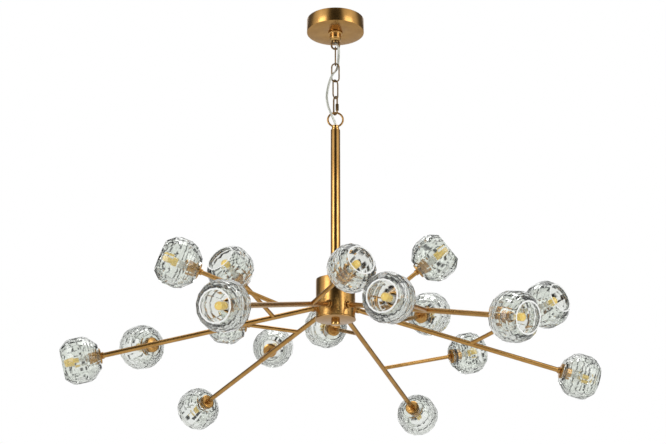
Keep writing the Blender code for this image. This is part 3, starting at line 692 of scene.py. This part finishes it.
def build_stem_ring():
    high_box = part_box("stem_ring")[1]
    stem_top = span("stem_tube")[1]
    wire, radius = sizes().loop_wire, high_box.x
    ring_centre = high_box.z - radius
    upright = Matrix.Translation((0.0, 0.0, ring_centre)) @ Matrix.Rotation(math.radians(90.0), 4,
                                                                            "X")
    bm = bmesh.new()
    wire_steps = 20
    turns = [math.tau * step / wire_steps for step in range(wire_steps + 1)]
    circle = [(radius - wire / 2 + wire / 2 * math.cos(turn), wire / 2 * math.sin(turn))
              for turn in turns]
    turn_profile(bm, circle, 72, upright, material=1)
    ferrule_top, ferrule_bottom = ring_centre - radius + wire * 1.1, stem_top + 0.3 * MM
    waist, foot = 7.4 * MM, 8.3 * MM
    turn_profile(bm, [
        (LEAD_BORE, ferrule_top), (waist - 1.4 * MM, ferrule_top), (waist, ferrule_top - 1.4 * MM),
        (waist, ferrule_bottom + 4.0 * MM), (waist - 0.5 * MM, ferrule_bottom + 3.4 * MM),
        (foot, ferrule_bottom + 2.4 * MM), (foot, ferrule_bottom), (LEAD_BORE, ferrule_bottom),
        (LEAD_BORE, ferrule_top),
    ], 48, soft=0.4 * MM)
    piece("ring_and_ferrule", bm, [polished_brass(), rubbed_brass()], BODY_BELOW,
          ["stem_ring"])


def build_stem():
    low, high = span("stem_tube")
    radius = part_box("stem_tube")[1].x
    bm = bmesh.new()
    turn_profile(bm, tube_profile(radius, low, high), 64, soft=0.6 * MM)
    piece("stem_rod", bm, [satin_brass()], BODY_BELOW, ["stem_tube"])


def build_hub():
    low, high = span("hub_shell")
    radius = sizes().hub_radius
    bm = bmesh.new()
    turn_profile(bm, tube_profile(radius, low, high), 128, soft=1.1 * MM)
    boss, stand = sizes().boss_radius, 2.4 * MM
    for arm in ARMS:
        wall_frame = arm_start_frame(arm)
        turn_profile(bm, [
            (0.0, -2.5 * MM), (boss, -2.5 * MM), (boss, stand - 0.4 * MM),
            (boss - 1.0 * MM, stand),
            (boss - 1.6 * MM, stand), (boss - 2.0 * MM, stand - 0.5 * MM), (0.0, stand - 0.5 * MM),
        ], 48, wall_frame, soft=0.3 * MM)
    piece("hub_drum", bm, [satin_brass()], BODY_BELOW, ["hub_shell"])


def build_hub_plate():
    low, high = span("hub_plate")
    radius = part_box("hub_plate")[1].x
    bm = bmesh.new()
    turn_profile(bm, tube_profile(radius, low, high), 128, soft=0.6 * MM)
    piece("bottom_plate", bm, [satin_brass()], BODY_BELOW, ["hub_plate"])


def build_finial():
    low, high = span("finial_nut")
    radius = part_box("finial_nut")[1].x
    bm = bmesh.new()
    turn_profile(bm, tube_profile(radius, low, high), 64, soft=1.2 * MM)
    piece("finial_knob", bm, [polished_brass()], BODY_BELOW, ["finial_nut"])


# ------------------------------------------------------------------ arms

# heights out from a tube's end
DISH_THICKNESS = 3.5 * MM
SOCKET_END = 25.0 * MM
HOLDER_START = 6.4 * MM
SHADE_SEAT = 3.8 * MM


def arm_start_frame(arm):
    """Frame where an arm's centre line meets the hub's wall, +Z outwards along the arm."""
    outer = light_frame(f"{arm}_main")
    end, way = outer.translation, outer.col[2].to_3d()
    out = math.hypot(end.x, end.y) - sizes().hub_radius
    start = end - way * (out / math.hypot(way.x, way.y))
    return frame_along(start, end)


def holder_profile(tube_radius):
    """Knuckle on the tube, dish behind the glass and socket cup inside it."""
    dish, socket = sizes().dish_radius, sizes().socket_radius
    return [
        (0.0, -5.0 * MM), (tube_radius + 1.6 * MM, -5.0 * MM), (tube_radius + 1.6 * MM, -1.2 * MM),
        (tube_radius + 1.0 * MM, -0.6 * MM), (tube_radius + 1.0 * MM, 0.0), (dish - 3.0 * MM, 0.0),
        (dish, 1.2 * MM), (dish, DISH_THICKNESS), (socket, DISH_THICKNESS), (socket, SOCKET_END),
        (socket - 1.5 * MM, SOCKET_END), (socket - 1.5 * MM, 6.0 * MM), (0.0, 6.0 * MM),
    ]


def build_arm(arm):
    bm = bmesh.new()
    start = arm_start_frame(arm)
    main = light_frame(f"{arm}_main")
    length = (main.translation - start.translation).length
    radius, branch = sizes().arm_radius, sizes().branch_radius
    turn_profile(bm, tube_profile(radius, -1.0 * MM, length), 40, start)
    collar = radius + 1.4 * MM
    turn_profile(bm, [(0.0, 3.2 * MM), (collar, 3.2 * MM), (collar, 8.6 * MM),
                      (radius + 0.2 * MM, 9.4 * MM),
                      (0.0, 9.4 * MM)], 40, start, soft=0.5 * MM)
    turn_profile(bm, holder_profile(radius), 56, main, soft=0.5 * MM)
    way = start.col[2].to_3d()
    for name in LIGHTS[1:]:
        light = light_frame(f"{arm}_{name}")
        end, side_way = light.translation, light.col[2].to_3d()
        fork = intersect_line_line(start.translation, start.translation + way, end,
                                   end - side_way)[0]
        inset = frame_along(fork, end)
        turn_profile(bm, tube_profile(branch, 0.0, (end - fork).length), 36, inset)
        turn_profile(bm, holder_profile(branch), 56, light, soft=0.5 * MM)
    piece(f"branched_arm_{arm}", bm, [rubbed_brass()], BODY_BELOW, [f"arm_{arm}"])


# ------------------------------------------------------------------ shades and lamps

SHADE_CENTRE = 38.0 * MM
SHADE_LENGTH = 71.0 * MM
# latitude, extra depth in mm and whether the row is staggered
FACET_ROWS = ((-46.0, 0.0, 0), (-22.0, -1.3, 0), (0.0, 0.0, 1), (22.0, -1.3, 0), (42.0, 0.0, 0))
CAVITY_RADIUS = 36.5 * MM
CAVITY_FLATS = 22
NECK_THICKNESS = 7.0 * MM
NECK_HOLE = 12.5 * MM
MOUTH_RIM = 2.5 * MM


def ground_ball(bm):
    """Ball cut flat at neck and mouth and ground by staggered rows of facets."""
    radius, around = sizes().shade_radius, sizes().facets_around
    bmesh.ops.create_cube(bm, size=2.6 * radius)
    centre = Vector((0.0, 0.0, SHADE_CENTRE))
    bmesh.ops.translate(bm, vec=centre, verts=bm.verts)
    cuts = [(Vector(), Vector((0, 0, -1))), (Vector((0, 0, SHADE_LENGTH)), Vector((0, 0, 1)))]
    for latitude, extra, staggered in FACET_ROWS:
        lean = math.radians(latitude)
        depth = sizes().facet_depth + extra * MM
        for facet in range(around):
            angle = math.tau * (facet + staggered / 2) / around
            normal = Vector((math.cos(lean) * math.cos(angle), math.cos(lean) * math.sin(angle),
                             math.sin(lean)))
            cuts.append((centre + normal * (radius - depth), normal))
    for point, normal in cuts:
        made = bmesh.ops.bisect_plane(bm, geom=bm.verts[:] + bm.edges[:] + bm.faces[:], dist=1e-7,
                                      plane_co=point, plane_no=normal, clear_outer=True)
        rim = [item for item in made["geom_cut"] if isinstance(item, bmesh.types.BMEdge)]
        if rim:
            bmesh.ops.contextual_create(bm, geom=rim)
    bmesh.ops.remove_doubles(bm, verts=bm.verts, dist=1e-5)
    bmesh.ops.recalc_face_normals(bm, faces=bm.faces)


def cavity_profile():
    """Smooth bowl with the neck's hole, running past both faces."""
    lean = math.radians(FACET_ROWS[-1][0])
    rise = SHADE_LENGTH - SHADE_CENTRE
    ground = sizes().shade_radius - sizes().facet_depth
    mouth = (ground - rise * math.sin(lean)) / math.cos(lean) - MOUTH_RIM
    past, steps = 4.0 * MM, 22
    points = [(0.0, -past), (NECK_HOLE, -past), (NECK_HOLE, NECK_THICKNESS)]
    start, end = math.radians(-52.0), math.acos(mouth / CAVITY_RADIUS)
    above, below = rise / math.sin(end), (SHADE_CENTRE - NECK_THICKNESS) / math.sin(-start)
    for step in range(steps + 1):
        angle = start + (end - start) * step / steps
        height = above if angle > 0 else below
        points.append((CAVITY_RADIUS * math.cos(angle), SHADE_CENTRE + height * math.sin(angle)))
    return points + [(mouth, SHADE_LENGTH + past), (0.0, SHADE_LENGTH + past)]


def crystal_mesh():
    """One shade at its own origin; material 1 is the mouth's flat rim, painted white as a
    highlight.
    """
    bm, hollow = bmesh.new(), bmesh.new()
    ground_ball(bm)
    turn_profile(hollow, cavity_profile(), CAVITY_FLATS)
    shapes = []
    for name, source in (("crystal_ball", bm), ("crystal_hollow", hollow)):
        mesh = bpy.data.meshes.new(name)
        source.to_mesh(mesh)
        source.free()
        shapes.append(bpy.data.objects.new(name, mesh))
        bpy.context.scene.collection.objects.link(shapes[-1])
    cut = shapes[0].modifiers.new("hollow", "BOOLEAN")
    cut.operation, cut.solver, cut.object = "DIFFERENCE", "EXACT", shapes[1]
    bpy.context.view_layer.update()
    seen = shapes[0].evaluated_get(bpy.context.evaluated_depsgraph_get())
    mesh = bpy.data.meshes.new_from_object(seen)
    for shape in shapes:
        bpy.data.objects.remove(shape)
    mesh.materials.clear()
    bm = bmesh.new()
    bm.from_mesh(mesh)
    for face in bm.faces:
        rim = face.normal.z > 0.99 and face.calc_center_median().z > SHADE_LENGTH - 0.1 * MM
        face.material_index = 1 if rim else 0
    bm.to_mesh(mesh)
    bm.free()
    return mesh


def clamp_ring(bm):
    """Threaded brass ring that holds the neck down on its dish."""
    inner, outer = sizes().socket_radius + 0.05 * MM, 14.6 * MM
    low = SHADE_SEAT + NECK_THICKNESS + 0.2 * MM
    turn_profile(bm, [(inner, low), (outer, low), (outer, low + 2.2 * MM), (inner, low + 2.2 * MM),
                      (inner, low)],
                 48, soft=0.4 * MM)


def lamp_mesh():
    """Holder, lamp base, yellow phosphor body and clear dome, from the tube's end outwards."""
    bm = bmesh.new()
    turn_profile(bm, [(0.0, HOLDER_START), (8.4 * MM, HOLDER_START), (8.4 * MM, 20.5 * MM),
                      (7.6 * MM, 21.5 * MM),
                      (0.0, 21.5 * MM)], 40, soft=0.6 * MM)
    turn_profile(bm, [(0.0, 21.0 * MM), (6.6 * MM, 21.0 * MM), (6.9 * MM, 37.0 * MM),
                      (5.6 * MM, 39.5 * MM),
                      (0.0, 39.5 * MM)], 40, soft=0.8 * MM)
    turn_profile(bm, [(0.0, 43.5 * MM), (5.2 * MM, 43.5 * MM), (5.2 * MM, 60.0 * MM),
                      (0.0, 60.0 * MM)], 32,
                 material=1, soft=0.5 * MM)
    dome_radius, dome_steps = 7.3 * MM, 8
    dome = [(0.0, 39.8 * MM), (dome_radius, 39.8 * MM)]
    for step in range(dome_steps + 1):
        angle = math.radians(90.0) * step / dome_steps
        dome.append((dome_radius * math.cos(angle), 60.6 * MM + 5.3 * MM * math.sin(angle)))
    dome[-1] = (0.0, dome[-1][1])
    turn_profile(bm, dome, 40, material=2)
    mesh = bpy.data.meshes.new("lamp_pattern")
    bm.to_mesh(mesh)
    bm.free()
    return mesh


def placed_copy(mesh, name, matrix):
    copy = mesh.copy()
    copy.name = name
    copy.transform(matrix)
    return copy


def build_shades():
    pattern = crystal_mesh()
    seat = Matrix.Translation((0.0, 0.0, SHADE_SEAT))
    for arm in ARMS:
        for name in LIGHTS:
            light = f"{arm}_{name}"
            place = light_frame(light)
            mesh = placed_copy(pattern, f"crystal_{light}", place @ seat)
            place_piece(f"crystal_{light}", mesh, [crystal_glass(), ground_edge()], BODY_BELOW,
                        [f"shade_{light}"], sharp=11.0)
            bm = bmesh.new()
            clamp_ring(bm)
            bmesh.ops.transform(bm, matrix=place, verts=bm.verts)
            piece(f"clamp_ring_{light}", bm, [rubbed_brass()], BODY_BELOW, [])


def build_lamps():
    pattern = lamp_mesh()
    materials = [
        plain_body("white_ceramic", finishes().ceramic, 0.32, 600.0, 0.02 * MM, coat=0.3),
        plain_body("yellow_phosphor", finishes().phosphor, 0.5, 900.0, 0.05 * MM, glow=0.25),
        plain_body("lamp_dome", (0.98, 0.98, 0.97), 0.02, 120.0, 0.05 * MM, transmission=1.0),
    ]
    for arm in ARMS:
        for name in LIGHTS:
            light = f"{arm}_{name}"
            mesh = placed_copy(pattern, f"capsule_lamp_{light}", light_frame(light))
            place_piece(f"capsule_lamp_{light}", mesh, materials, BODY_BELOW,
                        [f"lamp_{light}"])


# ------------------------------------------------------------------ lead

ROUTE_STEPS = 24
CORE_STEPS = 8
# how the flat lead turns as it goes down, and how many strands show round it
LEAD_START_TURN = math.radians(12.0)
LEAD_SWAY = 0.5
STRANDS_ROUND = 4


def smooth_route(route, spacing):
    """Evenly spaced points on a Catmull-Rom curve through the route."""
    route = [Vector(point) for point in route]
    ends = [route[0] * 2 - route[1]] + route + [route[-1] * 2 - route[-2]]
    dense = []
    for before, first, second, after in zip(ends, ends[1:], ends[2:], ends[3:]):
        for step in range(ROUTE_STEPS):
            t = step / ROUTE_STEPS
            dense.append(0.5 * (2 * first + (second - before) * t
                                + (2 * before - 5 * first + 4 * second - after) * t ** 2
                                + (3 * first - before - 3 * second + after) * t ** 3))
    dense.append(route[-1])
    travelled = [0.0]
    for first, second in zip(dense, dense[1:]):
        travelled.append(travelled[-1] + (second - first).length)
    count = round(travelled[-1] / spacing)
    points, seek = [], 0
    for step in range(count + 1):
        target = travelled[-1] * step / count
        while seek < len(travelled) - 2 and travelled[seek + 1] < target:
            seek += 1
        share = (target - travelled[seek]) / (travelled[seek + 1] - travelled[seek])
        points.append(dense[seek].lerp(dense[seek + 1], share))
    return points


def twin_section(width):
    """Outline of two round cores side by side, joined by a thin web."""
    core = width * 0.27
    reach = width / 2 - core
    outline = []
    for side in (1, -1):
        for step in range(CORE_STEPS + 1):
            angle = math.radians(-130.0 + 260.0 * step / CORE_STEPS)
            outline.append((side * (reach + core * math.cos(angle)),
                            side * core * math.sin(angle)))
    return outline


def lead_mesh(name, points, first, spacing, outline):
    """Flat lead from one of its points on; each corner keeps its run and its turn."""
    bm = bmesh.new()
    run = bm.verts.layers.float.new("lead_run")
    turn = bm.verts.layers.float.new("lead_turn")
    rings = []
    for index, here in enumerate(points):
        before, after = points[max(index - 1, 0)], points[min(index + 1, len(points) - 1)]
        way = (after - before).normalized()
        travelled = (first + index) * spacing
        sway = LEAD_SWAY * math.sin(LEAD_START_TURN + math.tau * travelled / sizes().lead_twist)
        side = Vector((math.cos(sway), math.sin(sway), 0.0))
        flat = (side - way * side.dot(way)).normalized()
        ring = []
        for number, (across, through) in enumerate(outline):
            corner = bm.verts.new(here + flat * across + way.cross(flat) * through)
            corner[run] = travelled
            corner[turn] = math.tau * STRANDS_ROUND * number / len(outline)
            ring.append(corner)
        rings.append(ring)
    for upper, lower in zip(rings, rings[1:]):
        for k in range(len(outline)):
            bm.faces.new((upper[k - 1], upper[k], lower[k], lower[k - 1]))
    for ring in (rings[0], rings[-1]):
        bm.faces.new(ring)
    bmesh.ops.recalc_face_normals(bm, faces=bm.faces)
    mesh = bpy.data.meshes.new(name)
    bm.to_mesh(mesh)
    bm.free()
    return mesh


def build_lead():
    """One length for each joint of the chain, cut half way between the pivots of neighbouring
    joints.
    """
    spacing = 1.5 * MM
    points = smooth_route(LEAD_ROUTE, spacing)
    pivots = [joint["pos_m"][2] for joint in frame["joints"] if joint["child"] in CHAIN_BODIES]
    cuts = [(upper + lower) / 2 for upper, lower in zip(pivots, pivots[1:])]
    borders = [0]
    for height in cuts:
        borders.append(min(range(len(points)), key=lambda index: abs(points[index].z - height)))
    borders.append(len(points) - 1)
    outline = twin_section(sizes().lead_width)
    for number, (first, last) in enumerate(zip(borders, borders[1:])):
        name = f"twin_lead_{number + 1}"
        part = points[first:last + 1]
        mesh = lead_mesh(name, part, first, spacing, outline)
        made = place_piece(name, mesh, [strand_material()], None, ["power_cord"])
        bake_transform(made)


# ------------------------------------------------------------------ hidden fitting

def finish_hidden_fitting():
    """Zinc on the strap, its nipple and nut, and on the rod through the hub."""
    for name in ("ceiling_bracket", "canopy_nipple", "bracket_locknut", "hub_tie_rod"):
        node = frame["nodes"][name]
        node.data.materials.clear()
        node.data.materials.append(zinc_plate())


# ------------------------------------------------------------------ studio

# brightness round the studio, from the camera's side (0) to the backdrop (1)
STUDIO_RING = ((0.0, 0.03), (0.13, 0.05), (0.21, 0.95), (0.36, 1.35), (0.50, 0.85), (0.60, 0.16),
               (0.80, 0.12), (0.875, 0.95), (1.0, 1.0))
# narrow dark strips, between white ones, that show through the glass
GLASS_STRIPS = 13.0
GLASS_BANDS = 9.0


def build_world():
    """Pale surroundings; glass and brass reflect a ring of soft boxes between dark cards."""
    world = bpy.data.worlds.new("studio")
    bpy.context.scene.world = world
    world.use_nodes = True
    tree = world.node_tree
    way = add_node(tree, "ShaderNodeTexCoord").outputs["Generated"]
    split = add_node(tree, "ShaderNodeSeparateXYZ", n0=way).outputs
    to_front = math_node(tree, "MULTIPLY", split[1], -1.0)
    bearing = math_node(tree, "ARCTAN2", split[0], to_front)
    turn = math_node(tree, "ABSOLUTE", bearing)
    share = math_node(tree, "DIVIDE", turn, math.pi)
    ramp = add_node(tree, "ShaderNodeValToRGB", Fac=share)
    stops = ramp.color_ramp.elements
    while len(stops) < len(STUDIO_RING):
        stops.new(0.5)
    for stop, (place, light) in zip(stops, STUDIO_RING):
        stop.position = place
        stop.color = (light, light, light, 1.0)
    height = math_node(tree, "ABSOLUTE", split[2])
    strips = math_node(tree, "MULTIPLY", bearing, GLASS_STRIPS)
    bands = math_node(tree, "MULTIPLY_ADD", split[2], GLASS_BANDS, strips)
    wave = math_node(tree, "SINE", bands)
    through = add_node(tree, "ShaderNodeMapRange", Value=wave, From_Min=-0.9, From_Max=-0.45,
                       To_Min=0.0, To_Max=0.88).outputs[0]
    overhead = add_node(tree, "ShaderNodeMapRange", {"interpolation_type": "SMOOTHSTEP"},
                        Value=height,
                        From_Min=0.62, From_Max=0.95).outputs[0]
    ring = mix_tones(tree, overhead, ramp.outputs["Color"], (0.42, 0.42, 0.42, 1.0))
    path = add_node(tree, "ShaderNodeLightPath").outputs
    sided = mix_tones(tree, path["Is Transmission Ray"], ring, through)
    tone = mix_tones(tree, path["Is Camera Ray"], sided, (1.0, 1.0, 1.0, 1.0))
    tree.links.new(tone, tree.nodes["Background"].inputs["Color"])


def add_light(name, place, aim, width, height, power):
    data = bpy.data.lights.new(name, "AREA")
    data.shape, data.size, data.size_y, data.energy = "RECTANGLE", width, height, power
    light = bpy.data.objects.new(name, data)
    bpy.context.scene.collection.objects.link(light)
    light.matrix_world = (Matrix.Translation(place)
                          @ (Vector(aim) - Vector(place)).to_track_quat("-Z",
                                                                        "Y").to_matrix().to_4x4())


def build_stage():
    scene = bpy.context.scene
    scene.view_settings.view_transform = "Standard"
    low = cad_box[0][2]
    bm = bmesh.new()
    bmesh.ops.create_grid(bm, x_segments=8, y_segments=8, size=25.0)
    bmesh.ops.translate(bm, vec=(0.0, 0.0, low - studio().floor_drop), verts=bm.verts)
    mesh = bpy.data.meshes.new("floor")
    bm.to_mesh(mesh)
    bm.free()
    mesh.materials.append(plain_body("pale_floor", studio().floor, 0.8, 12.0, 0.2 * MM, glow=0.2))
    floor = bpy.data.objects.new("floor", mesh)
    scene.collection.objects.link(floor)
    build_world()
    middle = (0.0, 0.0, -0.5)
    add_light("left_softbox", (-2.2, -1.7, 0.1), middle, 1.4, 1.8, 26.0)
    add_light("right_softbox", (2.2, -1.7, 0.1), middle, 1.4, 1.8, 22.0)
    add_light("top_softbox", (0.0, 0.5, 1.9), middle, 1.6, 1.6, 20.0)

    data = bpy.data.cameras.new("camera")
    data.sensor_width = 36.0
    data.lens = studio().camera_lens
    camera = bpy.data.objects.new("camera", data)
    camera.location = (0.0, -studio().camera_back, -studio().camera_drop)
    camera.rotation_euler = (math.radians(90.0) + studio().camera_pitch, 0.0, studio().camera_turn)
    scene.collection.objects.link(camera)
    scene.camera = camera


# ------------------------------------------------------------------ add-on

class CHANDELIER_OT_stage(bpy.types.Operator):
    """Floor, soft lights, surroundings and camera"""
    bl_idname = "chandelier.stage"
    bl_label = "Stage"
    bl_options = {"REGISTER", "UNDO"}

    def execute(self, context):
        build_stage()
        return {"FINISHED"}


class CHANDELIER_OT_lead(bpy.types.Operator):
    """Clear twin lead woven through the chain"""
    bl_idname = "chandelier.lead"
    bl_label = "Twin Lead"
    bl_options = {"REGISTER", "UNDO"}

    def execute(self, context):
        build_lead()
        return {"FINISHED"}


class CHANDELIER_OT_ceiling_fitting(bpy.types.Operator):
    """Canopy cup, collar nut, hook and the zinc fitting inside"""
    bl_idname = "chandelier.ceiling_fitting"
    bl_label = "Ceiling Fitting"
    bl_options = {"REGISTER", "UNDO"}

    def execute(self, context):
        build_canopy()
        build_collar()
        build_hook()
        finish_hidden_fitting()
        return {"FINISHED"}


class CHANDELIER_OT_chain(bpy.types.Operator):
    """Three oval links, the quick link and its sleeve"""
    bl_idname = "chandelier.chain"
    bl_label = "Chain"
    bl_options = {"REGISTER", "UNDO"}

    def execute(self, context):
        build_links()
        build_quick_link()
        build_sleeve()
        return {"FINISHED"}


class CHANDELIER_OT_stem(bpy.types.Operator):
    """Ring with its ferrule, and the stem"""
    bl_idname = "chandelier.stem"
    bl_label = "Stem"
    bl_options = {"REGISTER", "UNDO"}

    def execute(self, context):
        build_stem_ring()
        build_stem()
        return {"FINISHED"}


class CHANDELIER_OT_hub(bpy.types.Operator):
    """Hub drum with its bosses, bottom plate and finial"""
    bl_idname = "chandelier.hub"
    bl_label = "Hub"
    bl_options = {"REGISTER", "UNDO"}

    def execute(self, context):
        build_hub()
        build_hub_plate()
        build_finial()
        return {"FINISHED"}


class CHANDELIER_OT_arms(bpy.types.Operator):
    """Six branched arms with their shade holders"""
    bl_idname = "chandelier.arms"
    bl_label = "Arms"
    bl_options = {"REGISTER", "UNDO"}

    def execute(self, context):
        for arm in ARMS:
            build_arm(arm)
        return {"FINISHED"}


class CHANDELIER_OT_shades(bpy.types.Operator):
    """Cut-crystal shades and the rings that clamp them"""
    bl_idname = "chandelier.shades"
    bl_label = "Shades"
    bl_options = {"REGISTER", "UNDO"}

    def execute(self, context):
        build_shades()
        return {"FINISHED"}


class CHANDELIER_OT_lamps(bpy.types.Operator):
    """Holders and capsule lamps"""
    bl_idname = "chandelier.lamps"
    bl_label = "Lamps"
    bl_options = {"REGISTER", "UNDO"}

    def execute(self, context):
        build_lamps()
        return {"FINISHED"}


STEPS = (CHANDELIER_OT_stage, CHANDELIER_OT_lead, CHANDELIER_OT_ceiling_fitting,
         CHANDELIER_OT_chain,
         CHANDELIER_OT_stem, CHANDELIER_OT_hub, CHANDELIER_OT_arms, CHANDELIER_OT_shades,
         CHANDELIER_OT_lamps)
SETTINGS = {"chandelier_sizes": ChandelierSizes, "chandelier_finishes": ChandelierFinishes,
            "chandelier_studio": ChandelierStudio}


class CHANDELIER_PT_panel(bpy.types.Panel):
    """Sizes, finishes and building steps of the chandelier"""
    bl_idname = "CHANDELIER_PT_panel"
    bl_label = "Chandelier"
    bl_space_type = "VIEW_3D"
    bl_region_type = "UI"
    bl_category = "Chandelier"

    def draw(self, context):
        layout = self.layout
        for operator in STEPS:
            layout.operator(operator.bl_idname)
        for key, group in SETTINGS.items():
            box = layout.box()
            for setting in group.__annotations__:
                box.prop(getattr(context.scene, key), setting)


CLASSES = (*SETTINGS.values(), *STEPS, CHANDELIER_PT_panel)


def register():
    for kind in CLASSES:
        bpy.utils.register_class(kind)
    for key, group in SETTINGS.items():
        setattr(bpy.types.Scene, key, PointerProperty(type=group))


def unregister():
    for key in SETTINGS:
        delattr(bpy.types.Scene, key)
    for kind in reversed(CLASSES):
        bpy.utils.unregister_class(kind)


def main():
    register()
    bpy.ops.chandelier.stage()
    bpy.ops.chandelier.lead()
    bpy.ops.chandelier.ceiling_fitting()
    bpy.ops.chandelier.chain()
    bpy.ops.chandelier.stem()
    bpy.ops.chandelier.hub()
    bpy.ops.chandelier.arms()
    bpy.ops.chandelier.shades()
    bpy.ops.chandelier.lamps()
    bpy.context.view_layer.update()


if __name__ == "__main__":
    main()
